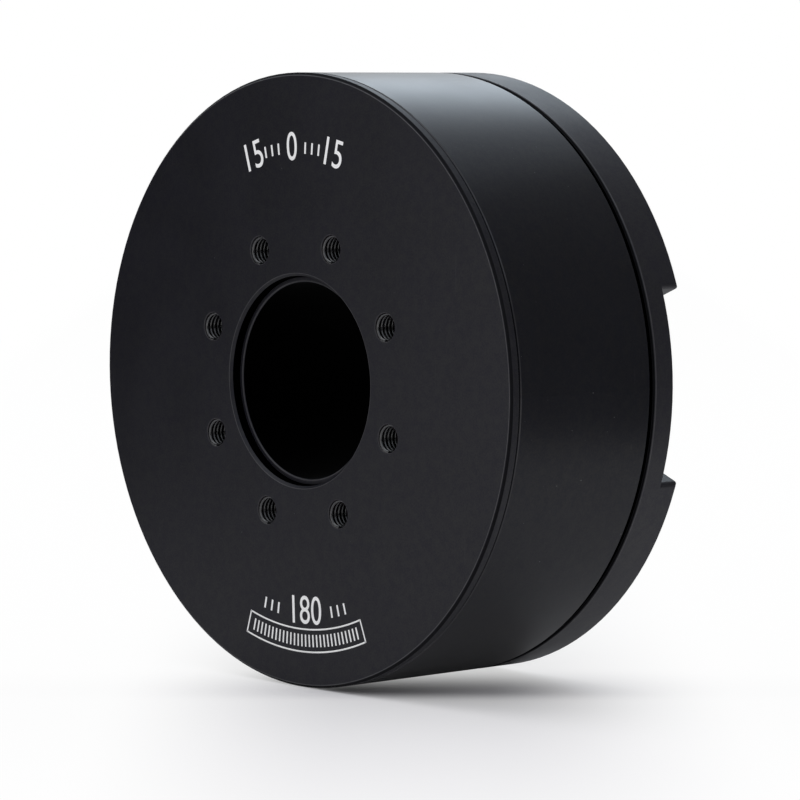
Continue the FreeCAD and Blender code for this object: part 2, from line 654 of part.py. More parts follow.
def bearing_carrier():
    """Fixed sleeve that seats both outer rings inside and the stator core outside."""
    body = turned([
        (bearing_outer_radius, web_rear),
        (spigot_radius, web_rear),
        (spigot_radius, BASE_HEIGHT),
        (shoulder_radius, BASE_HEIGHT),
        (shoulder_radius, core_rear),
        (carrier_radius, core_rear),
        (carrier_radius, carrier_front),
        (bearing_outer_radius, carrier_front),
        (bearing_outer_radius, front_bearing_low),
        (race_step_radius, front_bearing_low),
        (race_step_radius, race_step_rear),
        (bearing_outer_radius, race_step_rear),
    ])
    return body.cut(copied(carrier_screw_hole(), evenly(CARRIER_SCREW_COUNT)))


def carrier_screws():
    """Countersunk screws that hold the carrier on the base."""
    screw = countersunk_screw(CARRIER_SCREW_RADIUS, CARRIER_SCREW_HEAD_RADIUS, web_rear,
                              BASE_HEIGHT + CARRIER_SCREW_REACH, carrier_screw_circle)
    return Part.makeCompound(copied(screw, evenly(CARRIER_SCREW_COUNT)))


# ---- liner and rear cover --------------------------------------------------------------
def liner_screw_hole():
    """Countersunk hole through the cover into the liner's flange."""
    return countersunk_hole(LINER_SCREW_RADIUS, LINER_SCREW_HEAD_RADIUS, 0,
                            liner_flange_front, liner_screw_circle)


def shaft_liner():
    """Fixed tube inside the hub bore, with the flange that fastens it to the cover."""
    body = turned([
        (liner_inner_radius + LINER_CHAMFER, 0),
        (liner_outer_radius, 0),
        (liner_outer_radius, COVER_THICKNESS),
        (liner_flange_radius, COVER_THICKNESS),
        (liner_flange_radius, liner_flange_front),
        (liner_outer_radius, liner_flange_front),
        (liner_outer_radius, liner_front - LINER_CHAMFER),
        (liner_outer_radius - LINER_CHAMFER, liner_front),
        (liner_inner_radius + LINER_CHAMFER, liner_front),
        (liner_inner_radius, liner_front - LINER_CHAMFER),
        (liner_inner_radius, LINER_CHAMFER),
    ])
    return body.cut(copied(liner_screw_hole(), evenly(LINER_SCREW_COUNT)))


def liner_screws():
    """Screws that hold the liner on the cover."""
    screw = countersunk_screw(LINER_SCREW_RADIUS, LINER_SCREW_HEAD_RADIUS, 0,
                              liner_flange_front, liner_screw_circle)
    return Part.makeCompound(copied(screw, evenly(LINER_SCREW_COUNT)))


def cover_screw_hole():
    """Countersunk hole through the cover into a post of the base."""
    return countersunk_hole(COVER_SCREW_RADIUS, COVER_SCREW_HEAD_RADIUS, 0,
                            COVER_THICKNESS + COVER_SCREW_REACH, cover_screw_circle)


def rear_cover():
    """Plate over the electronics, open at the connector bay."""
    body = turned([
        (liner_outer_radius, 0),
        (cover_radius - COVER_EDGE_BREAK, 0),
        (cover_radius, COVER_EDGE_BREAK),
        (cover_radius, COVER_THICKNESS),
        (liner_outer_radius, COVER_THICKNESS),
    ])
    bay_start = power_connector_mouth() - POWER_CONNECTOR_LENGTH - BAY_BACK_CLEARANCE
    bay_length = BODY_RADIUS - bay_start
    bay = block(bay_length, 2 * BOARD_TONGUE_HALF_WIDTH, COVER_THICKNESS, bay_start + bay_length / 2, 0)
    body = body.cut(bay)
    body = body.cut(copied(cover_screw_hole(), evenly(COVER_SCREW_COUNT, COVER_SCREW_PHASE)))
    return body.cut(copied(liner_screw_hole(), evenly(LINER_SCREW_COUNT)))


def cover_gasket():
    """Flat seal under the cover's edge, open at the notch."""
    outline = [(pocket_radius + GASKET_INSET, COVER_THICKNESS), (cover_radius, COVER_THICKNESS),
               (cover_radius, ledge_height), (pocket_radius + GASKET_INSET, ledge_height)]
    return swept(outline, NOTCH_HALF_ANGLE, 360.0 - 2 * NOTCH_HALF_ANGLE)


def cover_screws():
    """Screws that hold the cover on the base posts."""
    screw = countersunk_screw(COVER_SCREW_RADIUS, COVER_SCREW_HEAD_RADIUS, 0,
                              COVER_THICKNESS + COVER_SCREW_REACH, cover_screw_circle)
    return Part.makeCompound(copied(screw, evenly(COVER_SCREW_COUNT, COVER_SCREW_PHASE)))


# ---- electronics -----------------------------------------------------------------------
def driver_board():
    """Ring-shaped circuit board with a tongue under the connectors."""
    tongue = block(tongue_radius, 2 * BOARD_TONGUE_HALF_WIDTH, BOARD_THICKNESS, tongue_radius / 2, board_rear)
    limit = Part.makeCylinder(tongue_radius, BOARD_THICKNESS, Vector(0, 0, board_rear))
    disc = Part.makeCylinder(board_outer_radius, BOARD_THICKNESS, Vector(0, 0, board_rear))
    board = disc.fuse(tongue.common(limit)).removeSplitter()
    centre = rod(board_inner_radius, board_rear, board_front, 0)
    screw = rod(BOARD_SCREW_RADIUS, board_rear, board_front, pad_circle)
    lead = rod(LEAD_RADIUS, board_rear, board_front, pad_circle)
    tools = [centre]
    tools += copied(screw, evenly(BOARD_SCREW_COUNT, BOARD_SCREW_PHASE))
    tools += copied(lead, lead_angles())
    return board.cut(tools)


def board_screws():
    """Pan-head screws that clamp the board and the pad to the base web."""
    head = rod(BOARD_SCREW_HEAD_RADIUS, board_rear - BOARD_SCREW_HEAD_HEIGHT, board_rear, pad_circle)
    shank = rod(BOARD_SCREW_RADIUS, board_rear, web_rear + BOARD_SCREW_REACH, pad_circle)
    screw = head.fuse(shank)
    return Part.makeCompound(copied(screw, evenly(BOARD_SCREW_COUNT, BOARD_SCREW_PHASE)))


def thermal_pad():
    """Soft pad that carries the board's heat into the base web."""
    pad = ring(pad_inner_radius, pad_outer_radius, board_front, web_rear)
    screw = rod(BOARD_SCREW_RADIUS + PAD_HOLE_CLEARANCE, board_front, web_rear, pad_circle)
    lead = rod(LEAD_RADIUS + PAD_HOLE_CLEARANCE, board_front, web_rear, pad_circle)
    tools = copied(screw, evenly(BOARD_SCREW_COUNT, BOARD_SCREW_PHASE))
    return pad.cut(tools + copied(lead, lead_angles()))


def rear_side_chips(size, circle, angles):
    """Flat packages on the board's rear side."""
    length, width, height = size
    chip = block(length, width, height, circle, board_rear - height)
    return Part.makeCompound(copied(chip, angles))


def capacitors():
    """Supply capacitors on the board's rear side."""
    low = COVER_THICKNESS + CAPACITOR_CLEARANCE
    can = rod(CAPACITOR_RADIUS, low, board_rear, board_outer_radius - CAPACITOR_INSET)
    return Part.makeCompound(copied(can, CAPACITOR_ANGLES))


def encoder_sensor_chip():
    """Angle sensor on the board's front side, under the magnet ring."""
    length, width, height = ENCODER_CHIP_SIZE
    chip = block(length, width, height, encoder_circle, board_front)
    return copied(chip, [CHIP_ANGLE])[0]


def power_connector_mouth():
    """Radius of the power connector's mouth."""
    return pocket_radius - POWER_CONNECTOR_SETBACK


def signal_connector_mouth():
    """Radius of the signal connectors' mouths."""
    return pocket_radius - SIGNAL_CONNECTOR_SETBACK


def socket_shell(size, mouth):
    """Connector shell hung from the board's rear side, open outwards."""
    length, width, height = size
    shell = block(length, width, height, mouth - length / 2, board_rear - height)
    hollow = block(length, width - 2 * CONNECTOR_WALL, height - 2 * CONNECTOR_WALL,
                   mouth - length / 2 + CONNECTOR_BACK, board_rear - height + CONNECTOR_WALL)
    return shell.cut(hollow)


def pin_row(size, mouth, setback, radius, spacing, count):
    """Round contacts side by side on the floor of a socket."""
    length, _, height = size
    start = mouth - length + CONNECTOR_BACK
    middle = board_rear - height / 2
    first = -spacing * (count - 1) / 2
    return [Part.makeCylinder(radius, mouth - setback - start,
                              Vector(start, first + spacing * index, middle), Vector(1, 0, 0))
            for index in range(count)]


def power_connector():
    """Two-pole supply socket, facing the notch."""
    return socket_shell(power_connector_size, power_connector_mouth())


def power_pins():
    """Contacts of the supply socket."""
    return Part.makeCompound(pin_row(power_connector_size, power_connector_mouth(), POWER_PIN_SETBACK,
                                     POWER_PIN_RADIUS, POWER_PIN_SPACING, 2))


def beside_power_connector(shapes):
    """Copies of the shapes on both sides of the power connector."""
    copies = []
    for side in (-1, 1):
        for shape in shapes:
            copy = shape.copy()
            copy.translate(Vector(0, side * SIGNAL_CONNECTOR_OFFSET, 0))
            copies.append(copy)
    return Part.makeCompound(copies)


def signal_connectors():
    """Two bus sockets, one on each side of the supply socket."""
    return beside_power_connector([socket_shell(SIGNAL_CONNECTOR_SIZE, signal_connector_mouth())])


def signal_pins():
    """Contacts of the bus sockets."""
    return beside_power_connector(pin_row(SIGNAL_CONNECTOR_SIZE, signal_connector_mouth(), SIGNAL_PIN_SETBACK,
                                          SIGNAL_PIN_RADIUS, SIGNAL_PIN_SPACING, SIGNAL_PIN_COUNT))


def sub_parts():
    """Every node's name and shape, on the bench frame."""
    return {
        "output_flange": output_flange(),
        "rotor_yoke": rotor_yoke(),
        "magnets_north": magnets(0),
        "magnets_south": magnets(1),
        "front_bearing_inner_ring": bearing_inner_ring(front_bearing_low),
        "rear_bearing_inner_ring": bearing_inner_ring(rear_bearing_low),
        "bearing_spacer": bearing_spacer(),
        "hub_lock_nut": hub_lock_nut(),
        "encoder_magnet_carrier": encoder_magnet_carrier(),
        "encoder_magnet_ring": encoder_magnet_ring(),
        "front_bearing_cage": bearing_cage(front_bearing_low),
        "front_bearing_balls": bearing_balls(front_bearing_low),
        "rear_bearing_cage": bearing_cage(rear_bearing_low),
        "rear_bearing_balls": bearing_balls(rear_bearing_low),
        "base_housing": base_housing(),
        "bearing_carrier": bearing_carrier(),
        "carrier_screws": carrier_screws(),
        "front_bearing_outer_ring": bearing_outer_ring(front_bearing_low),
        "rear_bearing_outer_ring": bearing_outer_ring(rear_bearing_low),
        "preload_spring": preload_spring(),
        "stator_core": stator_core(),
        "rear_slot_insulator": slot_insulator(core_rear - INSULATOR_THICKNESS),
        "front_slot_insulator": slot_insulator(core_front),
        "coils_phase_u": coils(0),
        "coils_phase_v": coils(1),
        "coils_phase_w": coils(2),
        "phase_leads": phase_leads(),
        "shaft_liner": shaft_liner(),
        "liner_screws": liner_screws(),
        "rear_cover": rear_cover(),
        "cover_gasket": cover_gasket(),
        "cover_screws": cover_screws(),
        "driver_board": driver_board(),
        "board_screws": board_screws(),
        "thermal_pad": thermal_pad(),
        "power_transistors": rear_side_chips(TRANSISTOR_SIZE, pad_circle, TRANSISTOR_ANGLES),
        "capacitors": capacitors(),
        "controller_chip": rear_side_chips(CONTROLLER_SIZE, controller_circle, [CHIP_ANGLE]),
        "encoder_sensor_chip": encoder_sensor_chip(),
        "power_connector": power_connector(),
        "power_pins": power_pins(),
        "signal_connectors": signal_connectors(),
        "signal_pins": signal_pins(),
    }


def main():
    """Lay each sub-part on its side in the part's own frame and write it."""
    os.makedirs("parts", exist_ok=True)
    for name, shape in sub_parts().items():
        placed = shape.copy()
        placed.rotate(Vector(), Vector(1, 0, 0), 90)
        placed.exportStep(f"parts/{name}.step")


main()
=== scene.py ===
"""Looks for a hollow-shaft joint actuator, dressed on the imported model's frame.

The front disc and its drum turn on the fixed base ring. The shaft lies along Y: the output
face looks toward -Y and the rear mounting face lies at y = 0, so a height, measured forward
from the rear face, is y = -height. Lengths are in metres. Only a finish, with its edges and
bands, is written in millimetres, which MM turns into metres.
"""
import logging
import math
from collections.abc import Mapping, Sequence
from dataclasses import dataclass
from enum import Enum
from typing import ClassVar, NamedTuple

import bpy
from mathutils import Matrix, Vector


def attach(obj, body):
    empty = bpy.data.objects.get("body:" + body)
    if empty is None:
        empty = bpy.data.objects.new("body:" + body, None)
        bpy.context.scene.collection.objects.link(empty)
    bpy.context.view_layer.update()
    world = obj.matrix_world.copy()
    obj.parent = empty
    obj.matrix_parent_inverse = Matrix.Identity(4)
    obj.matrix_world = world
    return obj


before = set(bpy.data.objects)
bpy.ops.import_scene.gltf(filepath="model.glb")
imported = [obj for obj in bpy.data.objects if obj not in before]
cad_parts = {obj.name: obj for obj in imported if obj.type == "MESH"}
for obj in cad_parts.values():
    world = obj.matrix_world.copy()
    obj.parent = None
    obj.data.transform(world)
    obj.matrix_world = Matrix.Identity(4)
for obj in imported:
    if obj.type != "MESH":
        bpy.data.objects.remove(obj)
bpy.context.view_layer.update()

LOG = logging.getLogger("actuator")
MM = 0.001
QUARTER = math.pi / 2

Socket = bpy.types.NodeSocket
Node = bpy.types.Node
Triple = tuple[float, float, float]


class Body(Enum):
    """The bodies that carry new pieces."""

    BASE = "base"
    ROTOR = "rotor"


class End(Enum):
    """The end of the shaft that a hole opens at, as the sign of its way in along Y."""

    FRONT = 1.0
    REAR = -1.0


# ---------- node wiring


class Value:
    """A node's output, which formulas use like a plain number."""

    def __init__(self, w: "Wiring", socket: Socket) -> None:
        """Keeps the socket with the wiring that formulas add nodes to."""
        self.w, self.socket = w, socket

    def __add__(self, other: "Feed") -> "Value":
        """Returns the sum."""
        return self.w.math("ADD", self, other)

    def __sub__(self, other: "Feed") -> "Value":
        """Returns the difference."""
        return self.w.math("SUBTRACT", self, other)

    def __rsub__(self, other: "Feed") -> "Value":
        """Returns a plain number less this one."""
        return self.w.math("SUBTRACT", other, self)

    def __mul__(self, other: "Feed") -> "Value":
        """Returns the product."""
        return self.w.math("MULTIPLY", self, other)

    def __truediv__(self, other: "Feed") -> "Value":
        """Returns the quotient."""
        return self.w.math("DIVIDE", self, other)

    def __rtruediv__(self, other: "Feed") -> "Value":
        """Returns a plain number divided by this one."""
        return self.w.math("DIVIDE", other, self)

    def __abs__(self) -> "Value":
        """Returns the value without its sign."""
        return self.w.math("ABSOLUTE", self)

    __radd__, __rmul__ = __add__, __mul__


Feed = Value | float | int | bool | str | tuple | bpy.types.ID
Feeds = Mapping[str | int, Feed]
Values = Mapping[str, Value]


class Wiring:
    """Adds nodes to one tree and joins them."""

    def __init__(self, tree: bpy.types.NodeTree) -> None:
        """Starts on a shader or geometry tree."""
        self.tree = tree

    def put(self, target: Socket, feed: Feed) -> None:
        """Joins a node's output to an input, or sets the input's own value.

        Args:
            target: The input socket.
            feed: The output that drives it, or a plain value.
        """
        if isinstance(feed, Value):
            self.tree.links.new(feed.socket, target)
        elif target.type == "RGBA" and len(feed) == 3:
            target.default_value = (*feed, 1.0)
        else:
            target.default_value = feed

    def node(self, kind: str, feeds: Feeds | None = None, **settings: object) -> Node:
        """Adds a node.

        Args:
            kind: Its Blender id.
            feeds: What goes into its inputs, by name or number.
            **settings: Its own properties.

        Returns:
            The new node.
        """
        made = self.tree.nodes.new(kind)
        for name, value in settings.items():
            setattr(made, name, value)
        for key, feed in (feeds or {}).items():
            self.put(made.inputs[key], feed)
        return made

    def outs(self, kind: str, feeds: Feeds | None = None, **settings: object) -> Values:
        """Adds a node as node() does, and returns its outputs by name."""
        return {socket.name: Value(self, socket) for socket in self.node(kind, feeds, **settings).outputs}

    def out(self, kind: str, feeds: Feeds | None = None, output: str | int = 0, **settings: object) -> Value:
        """Adds a node as node() does, and returns one output."""
        return Value(self, self.node(kind, feeds, **settings).outputs[output])

    def math(self, operation: str, *feeds: Feed, clamp: bool = False) -> Value:
        """Returns the result of a Math node, kept between 0 and 1 if clamp is set."""
        return self.out("ShaderNodeMath", dict(enumerate(feeds)), operation=operation, use_clamp=clamp)

    def larger(self, first: Feed, second: Feed) -> Value:
        """Returns the larger of two values."""
        return self.math("MAXIMUM", first, second)

    def length(self, across: Value, up: Value) -> Value:
        """Returns the distance that two steps at right angles cover."""
        return self.math("SQRT", across * across + up * up)

    def step(self, value: Feed, low: Feed, high: Feed) -> Value:
        """Returns a smooth step: 0 where the value is at low, 1 where it is at high."""
        feeds = {"Value": value, "From Min": low, "From Max": high}
        return self.out("ShaderNodeMapRange", feeds, interpolation_type="SMOOTHSTEP")

    def mix(self, share: Feed, first: Feed, second: Feed) -> Value:
        """Returns a colour that goes from first to second by share."""
        return self.out("ShaderNodeMix", {0: share, 6: first, 7: second}, output=2, data_type="RGBA")

    def blend(self, share: Feed, first: Feed, second: Feed) -> Value:
        """Returns a number that goes from first to second by share."""
        return self.out("ShaderNodeMix", {0: share, 2: first, 3: second})

    def vector(self, x: Feed = 0.0, y: Feed = 0.0, z: Feed = 0.0) -> Value:
        """Returns a vector from its three parts."""
        return self.out("ShaderNodeCombineXYZ", {0: x, 1: y, 2: z})

    def parts(self, vector: Feed) -> tuple[Value, ...]:
        """Returns the three parts of a vector."""
        return tuple(self.outs("ShaderNodeSeparateXYZ", {0: vector}).values())

    def scaled(self, vector: Feed, factor: Feed) -> Value:
        """Returns a vector or colour times a number."""
        return self.out("ShaderNodeVectorMath", {0: vector, "Scale": factor}, operation="SCALE")

    def noise(self, vector: Feed, scale: Feed, detail: float = 2.0, roughness: float = 0.5) -> Value:
        """Returns a noise value about 0.5.

        Args:
            vector: Where it is read.
            scale: Features in a metre.
            detail: Octaves.
            roughness: How strong the finer octaves are.

        Returns:
            The value.
        """
        feeds = {"Vector": vector, "Scale": scale, "Detail": detail, "Roughness": roughness}
        return self.out("ShaderNodeTexNoise", feeds)

    def polar(self, vector: Feed) -> tuple[Value, Value, Value]:
        """Splits a place into its distance from the shaft axis, its y and its angle."""
        x, y, z = self.parts(vector)
        return self.length(x, z), y, self.math("ARCTAN2", z, x)

    def moved(self, shape: Value, spot: Feed = (0.0, 0.0, 0.0), turn: Feed = (0.0, 0.0, 0.0),
              scale: Feed = (1.0, 1.0, 1.0)) -> Value:
        """Returns a shape scaled, then turned, then moved."""
        feeds = {"Geometry": shape, "Translation": spot, "Rotation": turn, "Scale": scale}
        return self.out("GeometryNodeTransform", feeds)

    def swept(self, line: Value, outline: Value) -> Value:
        """Returns an outline swept along a line that keeps upright, with its ends closed."""
        upright = self.out("GeometryNodeSetCurveNormal", {0: line}, mode="Z_UP")
        return self.out("GeometryNodeCurveToMesh", {0: upright, 1: outline, "Fill Caps": True})


def blank_material(name: str) -> tuple[bpy.types.Material, Wiring]:
    """Makes a material with no node in it.

    Args:
        name: Its name.

    Returns:
        The material and its wiring.
    """
    material = bpy.data.materials.new(name)
    material.use_nodes = True
    material.node_tree.nodes.clear()
    return material, Wiring(material.node_tree)


def new_object(name: str, data: bpy.types.ID) -> bpy.types.Object:
    """Makes an object in the scene.

    Args:
        name: Its name.
        data: Its mesh, light or camera.

    Returns:
        The object.
    """
    made = bpy.data.objects.new(name, data)
    bpy.context.scene.collection.objects.link(made)
    return made


# ---------- shared effects


class Effect:
    """A shader node group, built once and placed in each material with its own values."""

    title: ClassVar[str]
    takes: ClassVar[dict[str, float]]
    gives: ClassVar[tuple[str, ...]]

    def build(self, w: Wiring, take: Values) -> Sequence[Value]:
        """Fills the group.

        Args:
            w: The group's wiring.
            take: Its inputs.

        Returns:
            One value for each name in gives.
        """
        raise NotImplementedError

    def group(self) -> bpy.types.NodeTree:
        """Returns the group, and makes it the first time.

        Returns:
            The node group.
        """
        tree = bpy.data.node_groups.get(self.title)
        if tree:
            return tree
        tree = bpy.data.node_groups.new(self.title, "ShaderNodeTree")
        tree.interface.new_socket("Place", in_out="INPUT", socket_type="NodeSocketVector")
        for name, value in self.takes.items():
            socket = tree.interface.new_socket(name, in_out="INPUT", socket_type="NodeSocketFloat")
            socket.default_value = value
        for name in self.gives:
            tree.interface.new_socket(name, in_out="OUTPUT", socket_type="NodeSocketFloat")
        w = Wiring(tree)
        results = self.build(w, w.outs("NodeGroupInput"))
        w.node("NodeGroupOutput", dict(zip(self.gives, results)))
        return tree

    def place(self, w: Wiring, place: Feed, **values: Feed) -> Values:
        """Puts the effect in a material.

        Args:
            w: The material's wiring.
            place: The object coordinates.
            **values: Inputs other than their defaults, with underscores for spaces.

        Returns:
            The effect's outputs by name.
        """
        feeds = {name.replace("_", " "): value for name, value in values.items()}
        return w.outs("ShaderNodeGroup", {"Place": place, **feeds}, node_tree=self.group())


class BlastedGrain(Effect):
    """The fine pitting that blasting leaves under an anodised or moulded skin."""

    title = "Blasted grain"
    takes = {"Size": 0.3 * MM, "Fine share": 0.65, "Roll size": 0.22}
    gives = ("Height", "Tone")

    def build(self, w: Wiring, take: Values) -> Sequence[Value]:
        """Mixes a fine pitting with a coarser roll.

        Args:
            w: The group's wiring.
            take: Its inputs.

        Returns:
            The height and the tone.
        """
        scale = 1.0 / take["Size"]
        fine = w.noise(take["Place"], scale, 3.0, 0.6)
        roll = w.noise(take["Place"], scale * take["Roll size"])
        height = roll * (1.0 - take["Fine share"]) + fine * take["Fine share"]
        return height, w.step(height, 0.36, 0.64)


class TurningMarks(Effect):
    """Fine rings left by a lathe tool on faces and cylinders about the shaft axis."""

    title = "Turning marks"
    takes = {"Pitch": 0.25 * MM, "Breaks": 0.4, "Patches": 45.0}
    gives = ("Height", "Tone")

    def build(self, w: Wiring, take: Values) -> Sequence[Value]:
        """Reads noise by radius and y only, faded here and there round the ring.

        Args:
            w: The group's wiring.
            take: Its inputs.

        Returns:
            The height and the tone.
        """
        radius, y, _ = w.polar(take["Place"])
        rings = w.noise(w.vector(radius, y), 1.0 / take["Pitch"], 4.0, 0.65)
        patch = w.step(w.noise(take["Place"], take["Patches"]), 0.35, 0.65)
        return (rings - 0.5) * (1.0 - patch * take["Breaks"]), w.step(rings, 0.35, 0.65)


class Mottle(Effect):
    """Slow changes of tone across a surface, as dye or handling leaves."""

    title = "Mottle"
    takes = {"Size": 18.0 * MM}
    gives = ("Tone",)

    def build(self, w: Wiring, take: Values) -> Sequence[Value]:
        """Reads a soft noise."""
        return (w.step(w.noise(take["Place"], 1.0 / take["Size"], 3.0, 0.55), 0.3, 0.7),)


class SpecksAndHairlines(Effect):
    """Sparse dust specks, and hairline scratches that run mostly up and down."""

    title = "Specks and hairlines"
    takes = {"Speck spacing": 5.0 * MM, "Speck radius": 0.12 * MM, "Speck softness": 0.3,
             "Bare cells": 0.45, "Hairline level": 0.82, "Hairline fade": 0.1}
    gives = ("Specks", "Hairlines")
    lean = (0.0, 0.06, 0.0)
    stretch = (2600.0, 900.0, 42.0)

    def build(self, w: Wiring, take: Values) -> Sequence[Value]:
        """Thresholds a cell distance for specks and a stretched noise for hairlines.

        Args:
            w: The group's wiring.
            take: Its inputs.

        Returns:
            The masks of the specks and the hairlines.
        """
        spacing, level = take["Speck spacing"], take["Hairline level"]
        cells = w.outs("ShaderNodeTexVoronoi", {"Vector": take["Place"], "Scale": 1.0 / spacing})
        chance = w.out("ShaderNodeSeparateColor", {0: cells["Color"]})
        # a speck's size differs from cell to cell
        reach = take["Speck radius"] / spacing * (chance * 2.0 - 0.8)
        specks = w.step(cells["Distance"], reach, reach * take["Speck softness"])
        feeds = {"Vector": take["Place"], "Rotation": self.lean, "Scale": self.stretch}
        lines = w.noise(w.out("ShaderNodeMapping", feeds), 1.0, 0.0)
        lines = w.step(lines, level, level + take["Hairline fade"])
        return specks * w.math("GREATER_THAN", chance, take["Bare cells"]), lines


class RimWearAndGlint(Effect):
    """A thin light line along an edge about the shaft axis: partly rubbed wear, partly painted highlight."""

    title = "Rim wear and glint"
    takes = {"Radius": 65.0 * MM, "Height": 0.0, "Reach": 0.2 * MM, "Breaks": 0.3, "Patches": 120.0}
    gives = ("Mask",)

    def build(self, w: Wiring, take: Values) -> Sequence[Value]:
        """Measures the distance to the edge's circle and breaks the line up with noise.

        Args:
            w: The group's wiring.
            take: Its inputs.

        Returns:
            The mask.
        """
        radius, y, _ = w.polar(take["Place"])
        near = w.step(w.length(radius - take["Radius"], y + take["Height"]), take["Reach"], 0.0)
        patch = w.noise(take["Place"], take["Patches"], 4.0, 0.7)
        return (near * (1.0 - w.step(patch, 0.3, 0.6) * take["Breaks"]),)


class JointShade(Effect):
    """The shade inside a groove, gap or bore about the shaft axis, which no light reaches."""

    title = "Joint shade"
    takes = {"Radius": 65.0 * MM, "Height": 0.0, "Half width": 0.2 * MM, "Fade": 0.12 * MM}
    gives = ("Mask",)

    def build(self, w: Wiring, take: Values) -> Sequence[Value]:
        """Marks what lies inside the radius and between the two sides of the band.

        Args:
            w: The group's wiring.
            take: Its inputs.

        Returns:
            The mask.
        """
        radius, y, _ = w.polar(take["Place"])
        inside = w.step(take["Radius"] - radius, 0.0, take["Fade"])
        edge = take["Half width"] + take["Fade"] * 0.5
        return (inside * w.step(abs(y + take["Height"]), edge, edge - take["Fade"]),)


class HoleRims(Effect):
    """The thin bright line round the mouths of the holes on one bolt circle: partly wear, partly painted
    highlight.
    """

    title = "Hole rims"
    takes = {"Circle": 30.0 * MM, "Count": 8.0, "First angle": 0.0, "Rim": 3.1 * MM, "Reach": 0.16 * MM,
             "Height": 0.0}
    gives = ("Mask",)

    def build(self, w: Wiring, take: Values) -> Sequence[Value]:
        """Folds the circle into one hole's share and measures the distance to its rim.

        Args:
            w: The group's wiring.
            take: Its inputs.

        Returns:
            The mask.
        """
        radius, y, angle = w.polar(take["Place"])
        half_share = math.tau / take["Count"] * 0.5
        folded = w.math("PINGPONG", angle - take["First angle"], half_share)
        across = radius * w.math("COSINE", folded) - take["Circle"]
        off = abs(w.length(across, radius * w.math("SINE", folded)) - take["Rim"])
        at_face = w.step(abs(y + take["Height"]), take["Reach"] * 2.0, 0.0)
        return (w.step(off, take["Reach"], 0.0) * at_face,)


class StackedLines(Effect):
    """Even layers side by side: sheets in a stack, turns in a winding, or a weave's rows."""

    title = "Stacked lines"
    takes = {"Along": 0.0, "Pitch": 0.5 * MM, "Waver": 0.15, "Waves": 260.0, "Gap start": 0.72}
    gives = ("Height", "Gap", "Layer")

    def build(self, w: Wiring, take: Values) -> Sequence[Value]:
        """Rounds each layer and marks the gap between neighbours.

        Args:
            w: The group's wiring.
            take: Its inputs.

        Returns:
            The height, the mask of the gaps and each layer's own number.
        """
        turns = take["Along"] / take["Pitch"] + w.noise(take["Place"], take["Waves"]) * take["Waver"]
        off = abs(w.math("FRACT", turns) * 2.0 - 1.0)
        height = w.math("SQRT", w.math("SUBTRACT", 1.0, off * off, clamp=True))
        layer = w.out("ShaderNodeTexWhiteNoise", {"W": w.math("FLOOR", turns)}, noise_dimensions="1D")
        return height, w.step(off, take["Gap start"], 1.0), layer


class BoardTraces(Effect):
    """Copper runs and plated holes that show through a board's mask."""

    title = "Board traces"
    takes = {"Pitch": 1.1 * MM, "Run cells": 0.42, "Hole cells": 0.3, "Uneven": 0.75}
    gives = ("Runs", "Holes")

    def build(self, w: Wiring, take: Values) -> Sequence[Value]:
        """Draws square cell edges for the runs and cell centres for the holes.

        Args:
            w: The group's wiring.
            take: Its inputs.

        Returns:
            The masks of the runs and the holes.
        """
        scale = 1.0 / take["Pitch"]
        flat = w.out("ShaderNodeVectorMath", {0: take["Place"], 1: (1.0, 0.0, 1.0)}, operation="MULTIPLY")
        feeds = {"Vector": flat, "Scale": scale * take["Run cells"], "Randomness": take["Uneven"]}
        first, second = (
            w.out("ShaderNodeTexVoronoi", feeds, output="Distance", distance="CHEBYCHEV", feature=feature)
            for feature in ("F1", "F2"))
        feeds = {"Vector": flat, "Scale": scale * take["Hole cells"]}
        dots = w.out("ShaderNodeTexVoronoi", feeds, output="Distance")
        return w.step(second - first, 0.16, 0.08), w.step(dots, 0.13, 0.09)


GRAIN, TURNING, MOTTLE, RIM = BlastedGrain(), TurningMarks(), Mottle(), RimWearAndGlint()
DUST, LINES, TRACES = SpecksAndHairlines(), StackedLines(), BoardTraces()
SHADE, MOUTHS = JointShade(), HoleRims()


# ---------- finishes

COAT_ROUGHNESS = 0.12
# painted shade: the colour given to grooves, gaps, bores and dark chamfers
UNLIT = (0.0006, 0.0006, 0.0007)    # inside a joint
LINT = (0.5, 0.49, 0.47)            # specks on moulded parts


class Look(NamedTuple):
    """What a finish feeds its shader with."""

    colour: Feed
    roughness: Feed
    height: Feed
    metallic: Feed | None = None


@dataclass(frozen=True)
class Finish:
    """A surface: its colour and gloss, its relief in millimetres, and a subclass's effects."""

    name: str
    colour: Triple
    roughness: float
    metallic: float = 0.0
    specular: float = 0.5
    coat: float = 0.0
    relief: float = 0.01

    def look(self, w: Wiring, place: Value) -> Look:
        """Adds the finish's effects.

        Args:
            w: The material's wiring.
            place: The object coordinates.

        Returns:
            What feeds the shader.
        """
        raise NotImplementedError

    def make(self) -> bpy.types.Material:
        """Returns the material, and builds it the first time.

        Returns:
            The material, named after the finish.
        """
        material = bpy.data.materials.get(self.name)
        if material:
            return material
        material, w = blank_material(self.name)
        material.diffuse_color = (*self.colour, 1.0)
        look = self.look(w, w.out("ShaderNodeTexCoord", output="Object"))
        bump = w.out("ShaderNodeBump", {"Height": look.height, "Distance": self.relief * MM, "Strength": 1.0})
        shader = w.out("ShaderNodeBsdfPrincipled", {
            "Base Color": look.colour, "Roughness": look.roughness, "Normal": bump,
            "Metallic": self.metallic if look.metallic is None else look.metallic,
            "Specular IOR Level": self.specular, "Coat Weight": self.coat, "Coat Roughness": COAT_ROUGHNESS})
        w.node("ShaderNodeOutputMaterial", {"Surface": shader})
        return material


